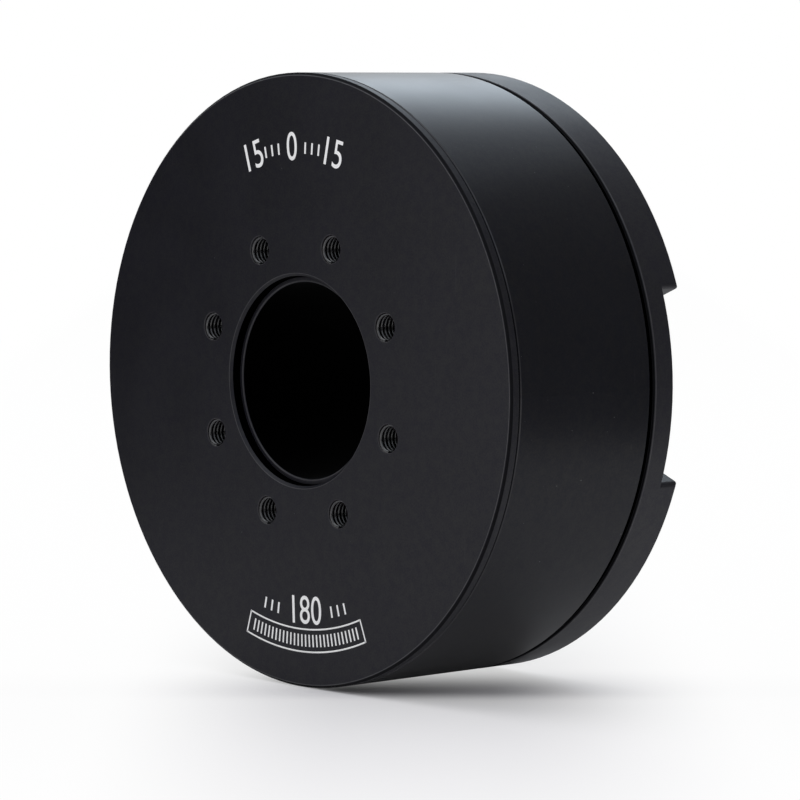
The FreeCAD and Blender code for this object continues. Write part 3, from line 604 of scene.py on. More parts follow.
class Edge(NamedTuple):
    """An edge about the shaft axis: its radius, height and reach in millimetres, and its strength."""

    radius: float
    height: float
    reach: float = 0.16
    strength: float = 1.0

    def mask(self, w: Wiring, place: Value, breaks: float) -> Value:
        """Returns 1 on the edge and 0 away from it, with breaks in the line."""
        return RIM.place(w, place, Radius=self.radius * MM, Height=self.height * MM, Reach=self.reach * MM,
                         Breaks=breaks)["Mask"]


class Band(NamedTuple):
    """A shaded joint about the shaft axis: inside a radius, between two heights, in millimetres."""

    radius: float
    low: float
    high: float

    def mask(self, w: Wiring, place: Value) -> Value:
        """Returns 1 in the joint and 0 outside it."""
        return SHADE.place(w, place, Radius=self.radius * MM, Height=(self.low + self.high) / 2 * MM,
                           Half_width=(self.high - self.low) / 2 * MM)["Mask"]


class Bolts(NamedTuple):
    """A bolt circle in metres: its radius, count and first angle, the holes' radius and face height."""

    circle: float
    count: int
    first: float
    hole: float
    height: float

    def places(self) -> dict[str, float]:
        """Returns where the holes are, under the names that effects and patterns use."""
        return {"Circle": self.circle, "Count": self.count, "First_angle": self.first}

    def mask(self, w: Wiring, place: Value) -> Value:
        """Returns 1 round the mouths and 0 away from them."""
        return MOUTHS.place(w, place, **self.places(), Rim=self.hole, Height=self.height)["Mask"]


@dataclass(frozen=True)
class Anodised(Finish):
    """Blasted, dyed and sealed aluminium."""

    grain: float = 0.42
    grain_tone: float = 0.9
    slow_tone: float = 0.16
    base_tone: float = 0.47
    turning: float = 0.0
    # edges and hole mouths: partly wear, partly painted highlight
    edges: tuple[Edge, ...] = ()
    edge_breaks: float = 0.3
    bolts: tuple[Bolts, ...] = ()
    mouth_wear_and_glint: float = 0.4
    rubbed_gloss: float = 0.15
    # bands and chamfers of painted shade
    joints: tuple[Band, ...] = ()
    shaded_chamfers: tuple[Edge, ...] = ()
    cut_shade: float = 0.62
    pitted: float = 0.34
    wear_and_glint: Triple = (0.09, 0.088, 0.095)
    dust: Triple = (0.10, 0.10, 0.104)
    dust_spacing: float = 4.5
    dust_radius: float = 0.17
    hairlines: float = 0.25
    uneven: float = 0.05

    def look(self, w: Wiring, place: Value) -> Look:
        """Lays grain, lathe rings, slow mottle, dust, hairlines, rubbed edges with painted highlights,
        painted shade.

        Args:
            w: The material's wiring.
            place: The object coordinates.

        Returns:
            What feeds the shader.
        """
        grain = GRAIN.place(w, place, Size=self.grain * MM)
        rings = TURNING.place(w, place)
        slow = MOTTLE.place(w, place)["Tone"]
        dust = DUST.place(w, place, Speck_spacing=self.dust_spacing * MM, Speck_radius=self.dust_radius * MM)
        wear_and_glint = dark = 0.0
        # edge lines and hole mouths: partly wear, partly painted highlight
        for edge in self.edges:
            wear_and_glint = w.larger(wear_and_glint, edge.mask(w, place, self.edge_breaks) * edge.strength)
        for bolts in self.bolts:
            wear_and_glint = w.larger(wear_and_glint, bolts.mask(w, place) * self.mouth_wear_and_glint)
        # painted shade: grooves, gaps and bores go unlit, and chamfers darken by cut_shade
        for joint in self.joints:
            dark = w.larger(dark, joint.mask(w, place))
        for cut in self.shaded_chamfers:
            mask = w.math("MULTIPLY", cut.mask(w, place, 0.0), cut.strength, clamp=True)
            dark = w.larger(dark, mask * self.cut_shade)
        tone = grain["Tone"] * self.grain_tone + (slow * self.slow_tone + self.base_tone)
        colour = w.mix(dust["Hairlines"] * self.hairlines, w.scaled(self.colour, tone), self.wear_and_glint)
        colour = w.mix(wear_and_glint, colour, self.wear_and_glint)
        colour = w.mix(dust["Specks"], colour, self.dust)
        colour = w.mix(dark, colour, UNLIT)
        rough = wear_and_glint * -self.rubbed_gloss + ((slow - 0.5) * self.uneven + self.roughness)
        height = rings["Height"] * self.turning + grain["Height"]
        metallic = w.larger(dark, grain["Tone"] * self.pitted)
        return Look(colour, w.blend(dark, rough, 1.0), height, metallic)


@dataclass(frozen=True)
class Machined(Finish):
    """Bare metal: ground, turned or plated."""

    grain: float = 0.15
    grain_height: float = 0.3
    pitch: float = 0.22
    rings: float = 1.0
    ring_tone: float = 0.12
    base_tone: float = 0.9
    ring_gloss: float = 0.08
    slow_gloss: float = 0.06
    hairline_gloss: float = 0.1
    stain: Triple = (0.25, 0.24, 0.22)
    stain_size: float = 9.0
    stained: float = 0.15

    def look(self, w: Wiring, place: Value) -> Look:
        """Lays lathe rings, a fine grain, and faint stains.

        Args:
            w: The material's wiring.
            place: The object coordinates.

        Returns:
            What feeds the shader.
        """
        rings = TURNING.place(w, place, Pitch=self.pitch * MM)
        grain = GRAIN.place(w, place, Size=self.grain * MM)
        slow = MOTTLE.place(w, place, Size=self.stain_size * MM)["Tone"]
        dust = DUST.place(w, place)
        colour = w.mix(slow * self.stained, self.colour, self.stain)
        colour = w.scaled(colour, rings["Tone"] * self.ring_tone + self.base_tone)
        rough = rings["Tone"] * self.ring_gloss + (slow * self.slow_gloss + self.roughness)
        rough = dust["Hairlines"] * self.hairline_gloss + rough
        return Look(colour, rough, rings["Height"] * self.rings + grain["Height"] * self.grain_height)


@dataclass(frozen=True)
class Moulded(Finish):
    """Moulded plastic, rubber or enamel with a fine skin."""

    grain: float = 0.2
    grain_tone: float = 0.08
    grain_gloss: float = 0.12
    shift: float = 0.16
    shift_size: float = 7.0
    dust_spacing: float = 3.0
    dust_radius: float = 0.06
    dusty: float = 0.25

    def look(self, w: Wiring, place: Value) -> Look:
        """Lays a moulded skin, slow mottle and specks.

        Args:
            w: The material's wiring.
            place: The object coordinates.

        Returns:
            What feeds the shader.
        """
        grain = GRAIN.place(w, place, Size=self.grain * MM)
        slow = MOTTLE.place(w, place, Size=self.shift_size * MM)["Tone"]
        dust = DUST.place(w, place, Speck_spacing=self.dust_spacing * MM, Speck_radius=self.dust_radius * MM)
        tone = grain["Tone"] * self.grain_tone + (slow * self.shift + (1.0 - self.shift / 2))
        colour = w.mix(dust["Specks"] * self.dusty, w.scaled(self.colour, tone), LINT)
        rough = (grain["Tone"] - 0.5) * self.grain_gloss + self.roughness
        return Look(colour, rough, grain["Height"])


@dataclass(frozen=True)
class Layered(Finish):
    """Sheets or turns side by side: laminations along the axis, or wires outward from it."""

    pitch: float = 0.5
    outward: bool = False
    gap: Triple = (0.02, 0.015, 0.012)
    gap_gloss: float = 0.3
    shift: float = 0.25
    slow_tone: float = 0.2
    base_tone: float = 0.9
    shift_size: float = 5.0

    def look(self, w: Wiring, place: Value) -> Look:
        """Rounds each layer, darkens the gaps and shifts each layer's tone.

        Args:
            w: The material's wiring.
            place: The object coordinates.

        Returns:
            What feeds the shader.
        """
        radius, y, _ = w.polar(place)
        lines = LINES.place(w, place, Along=radius if self.outward else y, Pitch=self.pitch * MM)
        slow = MOTTLE.place(w, place, Size=self.shift_size * MM)["Tone"]
        tone = slow * self.slow_tone + (lines["Layer"] * self.shift + (self.base_tone - self.shift / 2))
        colour = w.mix(lines["Gap"], w.scaled(self.colour, tone), self.gap)
        return Look(colour, lines["Gap"] * self.gap_gloss + self.roughness, lines["Height"])


@dataclass(frozen=True)
class Board(Finish):
    """Glass-cloth board with copper runs under a mask and bare plated holes."""

    run: Triple = (0.012, 0.05, 0.03)
    plate: Triple = (0.75, 0.52, 0.2)
    plate_roughness: float = 0.25
    shift: float = 0.3
    shift_size: float = 6.0
    weave_height: float = 0.1

    def look(self, w: Wiring, place: Value) -> Look:
        """Raises the runs, plates the holes and shows the cloth on the cut edges.

        Args:
            w: The material's wiring.
            place: The object coordinates.

        Returns:
            What feeds the shader.
        """
        traces = TRACES.place(w, place)
        runs, holes = traces["Runs"], traces["Holes"]
        slow = MOTTLE.place(w, place, Size=self.shift_size * MM)["Tone"]
        weave = LINES.place(w, place, Along=w.parts(place)[0])
        colour = w.scaled(w.mix(runs, self.colour, self.run), slow * self.shift + (1.0 - self.shift / 2))
        colour = w.mix(holes, colour, self.plate)
        rough = w.blend(holes, self.roughness, self.plate_roughness)
        return Look(colour, rough, weave["Height"] * self.weave_height + (runs + holes), holes)


# ---------- repeated shapes


class Pattern:
    """A Geometry Nodes tree with named sizes, run once for each plain mesh that it makes."""

    title: ClassVar[str]
    sizes: ClassVar[dict[str, float | int]]

    def shape(self, w: Wiring, size: Values) -> Value:
        """Fills the tree.

        Args:
            w: The tree's wiring.
            size: Its inputs.

        Returns:
            The geometry.
        """
        raise NotImplementedError

    def tree(self, material: bpy.types.Material) -> bpy.types.NodeTree:
        """Makes the tree, which ends in Realize Instances and Set Material.

        Args:
            material: What the mesh is made of.

        Returns:
            The new tree.
        """
        tree = bpy.data.node_groups.new(self.title, "GeometryNodeTree")
        for name, value in self.sizes.items():
            kind = "NodeSocketInt" if isinstance(value, int) else "NodeSocketFloat"
            tree.interface.new_socket(name, in_out="INPUT", socket_type=kind).default_value = value
        tree.interface.new_socket("Geometry", in_out="OUTPUT", socket_type="NodeSocketGeometry")
        w = Wiring(tree)
        made = w.out("GeometryNodeRealizeInstances", {0: self.shape(w, w.outs("NodeGroupInput"))})
        made = w.out("GeometryNodeSetMaterial", {"Geometry": made, "Material": material})
        w.node("NodeGroupOutput", {0: made})
        return tree

    def run(self, name: str, finish: Finish, body: Body, **values: float | int) -> None:
        """Makes one plain mesh at the origin, with no modifier, and puts it on its body.

        Args:
            name: The piece's name.
            finish: Its finish.
            body: What it moves with.
            **values: Sizes other than their defaults, with underscores for spaces.
        """
        maker = new_object(name + "_maker", bpy.data.meshes.new(name + "_maker"))
        modifier = maker.modifiers.new(self.title, "NODES")
        modifier.node_group = tree = self.tree(finish.make())
        sockets = {item.name: item.identifier for item in tree.interface.items_tree if item.in_out == "INPUT"}
        for key, value in values.items():
            modifier[sockets[key.replace("_", " ")]] = value
        graph = bpy.context.evaluated_depsgraph_get()
        mesh = bpy.data.meshes.new_from_object(maker.evaluated_get(graph))
        bpy.data.objects.remove(maker)
        mesh.name = name
        piece = new_object(name, mesh)
        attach(piece, body.value)
        LOG.info("piece %s: %d faces on %s", name, len(mesh.polygons), body.value)


def on_circle(w: Wiring, count: Feed, radius: Feed, first: Feed, step: Feed, y: Feed) -> tuple[Value, Value]:
    """Makes points on a circle about the shaft axis.

    Args:
        w: The tree's wiring.
        count: How many points.
        radius: The circle's radius.
        first: The first point's angle from +X toward +Z.
        step: The angle from one point to the next.
        y: Where the circle lies along the shaft.

    Returns:
        The points, and a rotation field that turns +X outward at each.
    """
    angle = w.out("GeometryNodeInputIndex") * step + first
    spot = w.vector(w.math("COSINE", angle) * radius, y, w.math("SINE", angle) * radius)
    points = w.out("GeometryNodePoints", {"Count": count, "Position": spot})
    turn = w.out("FunctionNodeAxisAngleToRotation", {"Axis": (0.0, 1.0, 0.0), "Angle": angle * -1.0})
    return points, turn


class ThreadRidges(Pattern):
    """Right-handed screw threads standing in the walls of tapped holes on a bolt circle."""

    title = "Thread ridges"
    sizes = {"Circle": 30.0 * MM, "Count": 8, "First angle": 0.0, "Mouth": 0.0, "Way in": End.FRONT.value,
             "Bore": 3.0 * MM, "Depth": 0.54 * MM, "Root": 0.875 * MM, "Crest": 0.25 * MM, "Pitch": 1.0 * MM,
             "Turns": 7.0, "Segments": 22, "Sink": 0.05 * MM, "Turned": QUARTER, "Inset": 0.35}

    def shape(self, w: Wiring, size: Values) -> Value:
        """Sweeps a trapezoid along a spiral, ends it flush with the face and puts one in each hole.

        Args:
            w: The tree's wiring.
            size: Its inputs.

        Returns:
            The ridges.
        """
        deep = size["Depth"] + size["Sink"]
        outline = w.out("GeometryNodeCurvePrimitiveQuadrilateral", {
            "Height": deep, "Bottom Width": size["Root"], "Top Width": size["Crest"], "Offset": 0.0},
            mode="TRAPEZOID")
        outline = w.moved(outline, w.vector(size["Sink"] - deep * 0.5), (0.0, 0.0, QUARTER))
        spiral = w.out("GeometryNodeCurveSpiral", {
            "Resolution": size["Segments"], "Rotations": size["Turns"], "Start Radius": size["Bore"],
            "End Radius": size["Bore"], "Height": size["Pitch"] * size["Turns"], "Reverse": True})
        ridge = w.moved(w.swept(spiral, outline), turn=w.vector(z=size["Turned"]))
        inset = size["Pitch"] * size["Inset"]
        x, y, z = w.parts(w.out("GeometryNodeInputPosition"))
        flush = w.vector(x, y, w.larger(z, inset * -1.0))
        ridge = w.out("GeometryNodeSetPosition", {"Geometry": ridge, "Position": flush})
        way = size["Way in"]
        ridge = w.moved(ridge, w.vector(y=inset * way), w.vector(way * -QUARTER))
        points, _ = on_circle(w, size["Count"], size["Circle"], size["First angle"], math.tau / size["Count"],
                              size["Mouth"])
        return w.out("GeometryNodeInstanceOnPoints", {"Points": points, "Instance": ridge})


class ScaleMarks(Pattern):
    """A row of printed strokes along an arc of a dial, half sunk in the face."""

    title = "Scale marks"
    sizes = {"Radius": 50.0 * MM, "Count": 3, "First angle": 0.0, "Step": 0.1, "Face": 0.0,
             "Length": 2.4 * MM, "Width": 0.5 * MM, "Film": 0.04 * MM}

    def shape(self, w: Wiring, size: Values) -> Value:
        """Puts one thin block on each point of the arc.

        Args:
            w: The tree's wiring.
            size: Its inputs.

        Returns:
            The strokes.
        """
        block = w.vector(size["Length"], size["Film"], size["Width"])
        stroke = w.out("GeometryNodeMeshCube", {"Size": block})
        points, turn = on_circle(w, size["Count"], size["Radius"], size["First angle"], size["Step"],
                                 size["Face"])
        return w.out("GeometryNodeInstanceOnPoints", {"Points": points, "Instance": stroke, "Rotation": turn})


class ScaleArc(Pattern):
    """A printed line that follows an arc of a dial, half sunk in the face."""

    title = "Scale arc"
    sizes = {"Radius": 50.0 * MM, "First angle": 0.0, "Sweep": 0.5, "Face": 0.0, "Points": 40,
             "Width": 0.35 * MM, "Film": 0.04 * MM}

    def shape(self, w: Wiring, size: Values) -> Value:
        """Sweeps a thin rectangle along an arc.

        Args:
            w: The tree's wiring.
            size: Its inputs.

        Returns:
            The line.
        """
        line = w.out("GeometryNodeCurveArc", {
            "Resolution": size["Points"], "Radius": size["Radius"], "Start Angle": size["First angle"],
            "Sweep Angle": size["Sweep"]})
        outline = w.out("GeometryNodeCurvePrimitiveQuadrilateral", {
            "Width": size["Width"], "Height": size["Film"]})
        return w.moved(w.swept(line, outline), w.vector(y=size["Face"]), (QUARTER, 0.0, 0.0))


class Numeral(NamedTuple):
    """One printed number of the dial and the angle at which it stands."""

    text: str
    angle: float


class ScaleNumerals(Pattern):
    """Printed numbers that stand along an arc of a dial."""

    title = "Scale numerals"
    sizes = {"Radius": 50.0 * MM, "Face": 0.0, "Size": 8.6 * MM, "Narrow": 0.85, "Film": 0.02 * MM,
             "Heading": 1.0}

    def __init__(self, *numerals: Numeral) -> None:
        """Starts a row of numbers."""
        self.numerals = numerals

    def shape(self, w: Wiring, size: Values) -> Value:
        """Fills each number's outline, thickens it and stands it on the arc.

        Args:
            w: The tree's wiring.
            size: Its inputs.

        Returns:
            The numbers.
        """
        join = w.node("GeometryNodeJoinGeometry")
        for text, angle in self.numerals:
            glyphs = w.out("GeometryNodeStringToCurves", {"String": text, "Size": size["Size"]},
                           align_x="CENTER", align_y="MIDDLE")
            glyphs = w.out("GeometryNodeRealizeInstances", {0: glyphs})
            filled = w.out("GeometryNodeFillCurve", {0: glyphs}, mode="NGONS")
            thick = w.out("GeometryNodeExtrudeMesh", {
                "Mesh": filled, "Offset Scale": size["Film"], "Individual": False})
            thick = w.moved(thick, scale=w.vector(size["Narrow"], 1.0, 1.0))
            spot = w.vector(size["Radius"] * math.cos(angle), size["Radius"] * math.sin(angle))
            w.put(join.inputs[0], w.moved(thick, spot, w.vector(z=size["Heading"] * -QUARTER + angle)))
        return w.moved(Value(w, join.outputs[0]), w.vector(y=size["Face"]), (QUARTER, 0.0, 0.0))


# ---------- sub-assemblies

Dressing = dict[Finish, tuple[str, ...]]


@dataclass
class SubAssembly:
    """A group of CAD nodes that are dressed together, with the pieces added to them."""

    title: ClassVar[str]
    finishes: ClassVar[Dressing]

    def dress(self) -> None:
        """Gives each CAD node its finish through its material slots."""
        for finish, nodes in self.finishes.items():
            material = finish.make()
            for name in nodes:
                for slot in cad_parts[name].material_slots:
                    slot.material = material
                LOG.info("node %s: %s", name, finish.name)

    def add_pieces(self) -> None:
        """Builds the pieces that the solids leave out."""

    def build(self) -> None:
        """Dresses the nodes and adds the pieces."""
        LOG.info("sub-assembly %s", self.title)
        self.dress()
        self.add_pieces()


# ---------- output end

BLACK = (0.0041, 0.0038, 0.0084)
OUTPUT_BOLTS = Bolts(30.0 * MM, 8, math.radians(24.8), 3.05 * MM, 51.2 * MM)
# edges: partly wear, partly painted highlights; chamfer, seam groove and bore wall: painted shade
FACE = Anodised(
    "anodised_face", BLACK, 0.5, specular=0.46, relief=0.014, bolts=(OUTPUT_BOLTS,),
    shaded_chamfers=(Edge(64.74, 50.86, 0.5, 1.8),),
    edges=(Edge(64.36, 51.2, 0.13), Edge(22.8, 51.2, 0.14, 0.8)),
    joints=(Band(64.95, 48.6, 48.95), Band(22.4, 40.0, 50.55)))
# edges: partly wear, partly painted highlights; the two seams: painted shade
DRUM = Anodised(
    "drum_satin", (0.0036, 0.0038, 0.0072), 0.34, specular=0.31, relief=0.006, turning=0.3, hairlines=0.1,
    uneven=0.02, dust_spacing=2.5,
    edges=(Edge(64.95, 48.5, 0.2, 0.9), Edge(64.95, 11.7, 0.24, 0.7)),
    joints=(Band(64.7, 48.5, 48.7), Band(64.7, 11.5, 11.75)))
# lighter than the face's black: a painted highlight on the thread crests
THREAD = Anodised("tapped_thread", (0.017, 0.0166, 0.019), 0.26, specular=1.0, relief=0.004, pitted=0.08)
PRINT = Moulded("white_print", (0.93, 0.93, 0.94), 0.5, specular=0.4, relief=0.004, shift=0.06)
MAGNET = Machined("nickel_plate", (0.55, 0.52, 0.47), 0.28, metallic=1.0, relief=0.003, rings=0.1)
TURNED = Machined("turned_aluminium", (0.60, 0.61, 0.62), 0.33, metallic=1.0, relief=0.006)
BLACKENED = Machined("blackened_steel", (0.055, 0.053, 0.052), 0.38, metallic=0.85, relief=0.005,
                     stain=(0.09, 0.07, 0.055), stained=0.3)
POLE_RING = Moulded("pole_ring", (0.028, 0.027, 0.027), 0.5, relief=0.006)


@dataclass
class OutputEnd(SubAssembly):
    """The flange, drum and magnets that turn, with the threads and the degree scale."""

    bolts: Bolts = OUTPUT_BOLTS
    scale_turn: float = math.radians(2.28)
    scale_radius: float = 49.2 * MM
    scale_step: float = math.radians(2.5)
    numeral_step: float = math.radians(15.0)
    numeral_drop: float = 0.4 * MM
    strip_radius: float = 55.0 * MM
    strip_half_width: float = 2.4 * MM
    strip_half_angle: float = math.radians(19.5)
    strip_end: float = 5.1 * MM
    strip_line: float = 0.35 * MM
    strip_mark: float = 2.6 * MM
    strip_mark_width: float = 0.42 * MM
    strip_mark_step: float = math.radians(1.25)
    strip_marks_each_side: int = 14

    title: ClassVar[str] = "output end"
    finishes: ClassVar[Dressing] = {
        FACE: ("output_flange",), DRUM: ("rotor_yoke",), MAGNET: ("magnets_north", "magnets_south"),
        TURNED: ("bearing_spacer", "encoder_magnet_carrier"), BLACKENED: ("hub_lock_nut",),
        POLE_RING: ("encoder_magnet_ring",)}

    def ink(self, pattern: Pattern, name: str, **values: float | int) -> None:
        """Prints a part of the scale on the output face.

        Args:
            pattern: What is printed.
            name: The piece's name after the word scale.
            **values: The pattern's sizes.
        """
        pattern.run("scale_" + name, PRINT, Body.ROTOR, Face=-self.bolts.height, **values)

    def add_numerals(self, top: float, bottom: float) -> None:
        """Prints the numbers, with three marks on each side of the middle ones.

        Args:
            top: The angle of the upper middle number.
            bottom: The angle of the lower one.
        """
        upper = [Numeral("15", top + self.numeral_step), Numeral("0", top),
                 Numeral("15", top - self.numeral_step)]
        self.ink(ScaleNumerals(*upper), "numerals_top", Radius=self.scale_radius)
        self.ink(ScaleNumerals(Numeral("180", bottom)), "numerals_bottom", Heading=-1.0,
                 Radius=self.scale_radius - self.numeral_drop)
        # steps: from the middle number to the first of a side's three marks, counted anticlockwise
        for name, middle, steps in (("top_left", top, 2), ("top_right", top, -4), ("bottom_left", bottom, -6),
                                    ("bottom_right", bottom, 4)):
            self.ink(ScaleMarks(), "marks_" + name, Radius=self.scale_radius, Step=self.scale_step,
                     First_angle=middle + steps * self.scale_step)

    def add_strip(self, bottom: float) -> None:
        """Prints the boxed strip of marks.

        Args:
            bottom: The angle of its middle.
        """
        start, sweep = bottom - self.strip_half_angle, 2 * self.strip_half_angle
        for name, side in (("inner", -1), ("outer", 1)):
            self.ink(ScaleArc(), "strip_" + name, Radius=self.strip_radius + side * self.strip_half_width,
                     Width=self.strip_line, First_angle=start, Sweep=sweep)
        self.ink(ScaleMarks(), "strip_ends", Radius=self.strip_radius, Count=2, First_angle=start, Step=sweep,
                 Length=self.strip_end, Width=self.strip_line)
        self.ink(ScaleMarks(), "strip_marks", Radius=self.strip_radius, Length=self.strip_mark,
                 Width=self.strip_mark_width, Count=2 * self.strip_marks_each_side + 1,
                 Step=self.strip_mark_step,
                 First_angle=bottom - self.strip_marks_each_side * self.strip_mark_step)

    def add_pieces(self) -> None:
        """Stands M6 threads in the output holes and prints a plain degree scale on the face."""
        ThreadRidges().run("output_threads", THREAD, Body.ROTOR, **self.bolts.places(),
                           Mouth=-self.bolts.height, Way_in=End.FRONT.value)
        self.add_numerals(QUARTER + self.scale_turn, self.scale_turn - QUARTER)
        self.add_strip(self.scale_turn - QUARTER)


# ---------- bearings

BEARING = Machined("bearing_steel", (0.58, 0.58, 0.59), 0.18, metallic=1.0, relief=0.002, pitch=0.1)
CAGE = Moulded("cage_nylon", (0.62, 0.56, 0.42), 0.55)
SPRING = Machined("spring_steel", (0.42, 0.41, 0.40), 0.3, metallic=1.0, relief=0.003)


@dataclass
class BearingPair(SubAssembly):
    """The two ball bearings, their carrier and the preload spring."""

    title: ClassVar[str] = "bearing pair"
    finishes: ClassVar[Dressing] = {
        BEARING: ("front_bearing_inner_ring", "rear_bearing_inner_ring", "front_bearing_outer_ring",
                  "rear_bearing_outer_ring", "front_bearing_balls", "rear_bearing_balls"),
        CAGE: ("front_bearing_cage", "rear_bearing_cage"), SPRING: ("preload_spring",),
        TURNED: ("bearing_carrier",), BLACKENED: ("carrier_screws",)}


# ---------- stator

LAMINATION = Layered("lamination_stack", (0.20, 0.195, 0.19), 0.42, metallic=0.9, relief=0.02, pitch=0.35,
                     gap=(0.03, 0.028, 0.026))
WINDING = Layered("enamelled_copper", (0.50, 0.17, 0.055), 0.3, metallic=0.75, coat=0.6, relief=0.12,
                  pitch=0.62, outward=True)
INSULATOR = Moulded("slot_insulator", (0.055, 0.055, 0.06), 0.5, relief=0.012)
LEAD = Moulded("lead_sleeve", (0.20, 0.012, 0.01), 0.45)


@dataclass
class StatorPack(SubAssembly):
    """The laminated core, its insulators and the three phases."""

    title: ClassVar[str] = "stator pack"
    finishes: ClassVar[Dressing] = {
        LAMINATION: ("stator_core",), INSULATOR: ("rear_slot_insulator", "front_slot_insulator"),
        WINDING: ("coils_phase_u", "coils_phase_v", "coils_phase_w"), LEAD: ("phase_leads",)}


# ---------- base end

BASE_BOLTS = Bolts(59.0 * MM, 6, math.radians(30.0), 2.3 * MM, 0.0)
# edges: partly wear, partly painted highlights; front chamfer and gap: painted shade
BASE = Anodised(
    "anodised_base", (0.0066, 0.0062, 0.0115), 0.5, specular=0.53, relief=0.012, turning=0.3,
    bolts=(BASE_BOLTS,), cut_shade=0.75, shaded_chamfers=(Edge(64.65, 10.25, 0.36, 1.8),),
    edges=(Edge(65.0, 9.9, 0.22, 0.6), Edge(65.0, 0.4, 0.12)), joints=(Band(64.5, 10.2, 12.8),))
# end edges: partly wear, partly painted highlights; the bore wall: painted shade
LINER = Anodised(
    "anodised_liner", BLACK, 0.5, specular=0.4, relief=0.008, turning=1.0,
    edges=(Edge(21.1, 48.9, 0.28, 0.6), Edge(21.95, 48.85, 0.2, 0.5)), joints=(Band(21.05, 0.2, 48.65),))
# edges: partly wear, partly painted highlights
COVER = Anodised(
    "anodised_cover", BLACK, 0.48, specular=0.34, relief=0.012, turning=0.5,
    edges=(Edge(53.9, 0.0, 0.12), Edge(22.05, 0.0, 0.12)))
GASKET = Moulded("gasket_rubber", (0.02, 0.02, 0.021), 0.75, relief=0.02)


@dataclass
class BaseEnd(SubAssembly):
    """The fixed ring, liner and rear cover, with the threads of the mounting holes."""

    bolts: Bolts = BASE_BOLTS

    title: ClassVar[str] = "base end"
    finishes: ClassVar[Dressing] = {
        BASE: ("base_housing",), LINER: ("shaft_liner",), COVER: ("rear_cover",), GASKET: ("cover_gasket",),
        BLACKENED: ("liner_screws", "cover_screws")}

    def add_pieces(self) -> None:
        """Stands M4 threads in the mounting holes."""
        ThreadRidges().run("base_threads", THREAD, Body.BASE, **self.bolts.places(), Mouth=-self.bolts.height,
                           Way_in=End.REAR.value, Bore=2.0 * MM, Depth=0.38 * MM, Root=0.61 * MM,
                           Crest=0.18 * MM, Pitch=0.7 * MM, Turns=10.0)


# ---------- driver and connectors

MASK = Board("board_mask", (0.006, 0.028, 0.016), 0.35, coat=0.3, relief=0.03)
PAD = Moulded("thermal_pad", (0.33, 0.36, 0.42), 0.7, relief=0.03)
CHIP = Moulded("chip_epoxy", (0.022, 0.022, 0.023), 0.55, grain=0.12)
CAN = Machined("capacitor_can", (0.62, 0.62, 0.63), 0.3, metallic=1.0, relief=0.003)
PLUG = Moulded("connector_body", (0.60, 0.33, 0.02), 0.42, relief=0.008)
HEADER = Moulded("signal_header", (0.70, 0.67, 0.58), 0.5, relief=0.008)
GOLD = Machined("contact_gold", (0.78, 0.53, 0.19), 0.22, metallic=1.0, relief=0.002)


@dataclass
class DriverStack(SubAssembly):
    """The driver board, its parts and the connectors in the bay."""

    title: ClassVar[str] = "driver stack"
    finishes: ClassVar[Dressing] = {
        MASK: ("driver_board",), BLACKENED: ("board_screws",), PAD: ("thermal_pad",),
        CHIP: ("power_transistors", "controller_chip", "encoder_sensor_chip"), CAN: ("capacitors",),
        PLUG: ("power_connector",), HEADER: ("signal_connectors",), GOLD: ("power_pins", "signal_pins")}


# ---------- studio


class Card(NamedTuple):
    """A dark card beside the object: its place on the plan, its middle's height, its size and grey."""

    name: str
    foot: tuple[float, float]
    raised: float
    size: tuple[float, float]
    grey: float


class Lamp(NamedTuple):
    """A soft light that faces the object: its place, size, level (1 is white) and colour."""

    name: str
    place: Triple
    size: tuple[float, float]
    level: float
    colour: Triple = (1.0, 1.0, 1.0)


class Fade(NamedTuple):
    """A smooth rise from one place to another, up to a share."""

    start: float
    end: float
    share: float = 1.0

    def read(self, w: Wiring, place: Value) -> Value:
        """Returns the share at a place."""
        return w.step(place, self.start, self.end) * self.share


def seen_directly(w: Wiring, rays: Values) -> Value:
    """Returns 1 for camera, glossy and transmission rays, which all show the background."""
    return w.larger(rays["Is Camera Ray"], w.larger(rays["Is Glossy Ray"], rays["Is Transmission Ray"]))


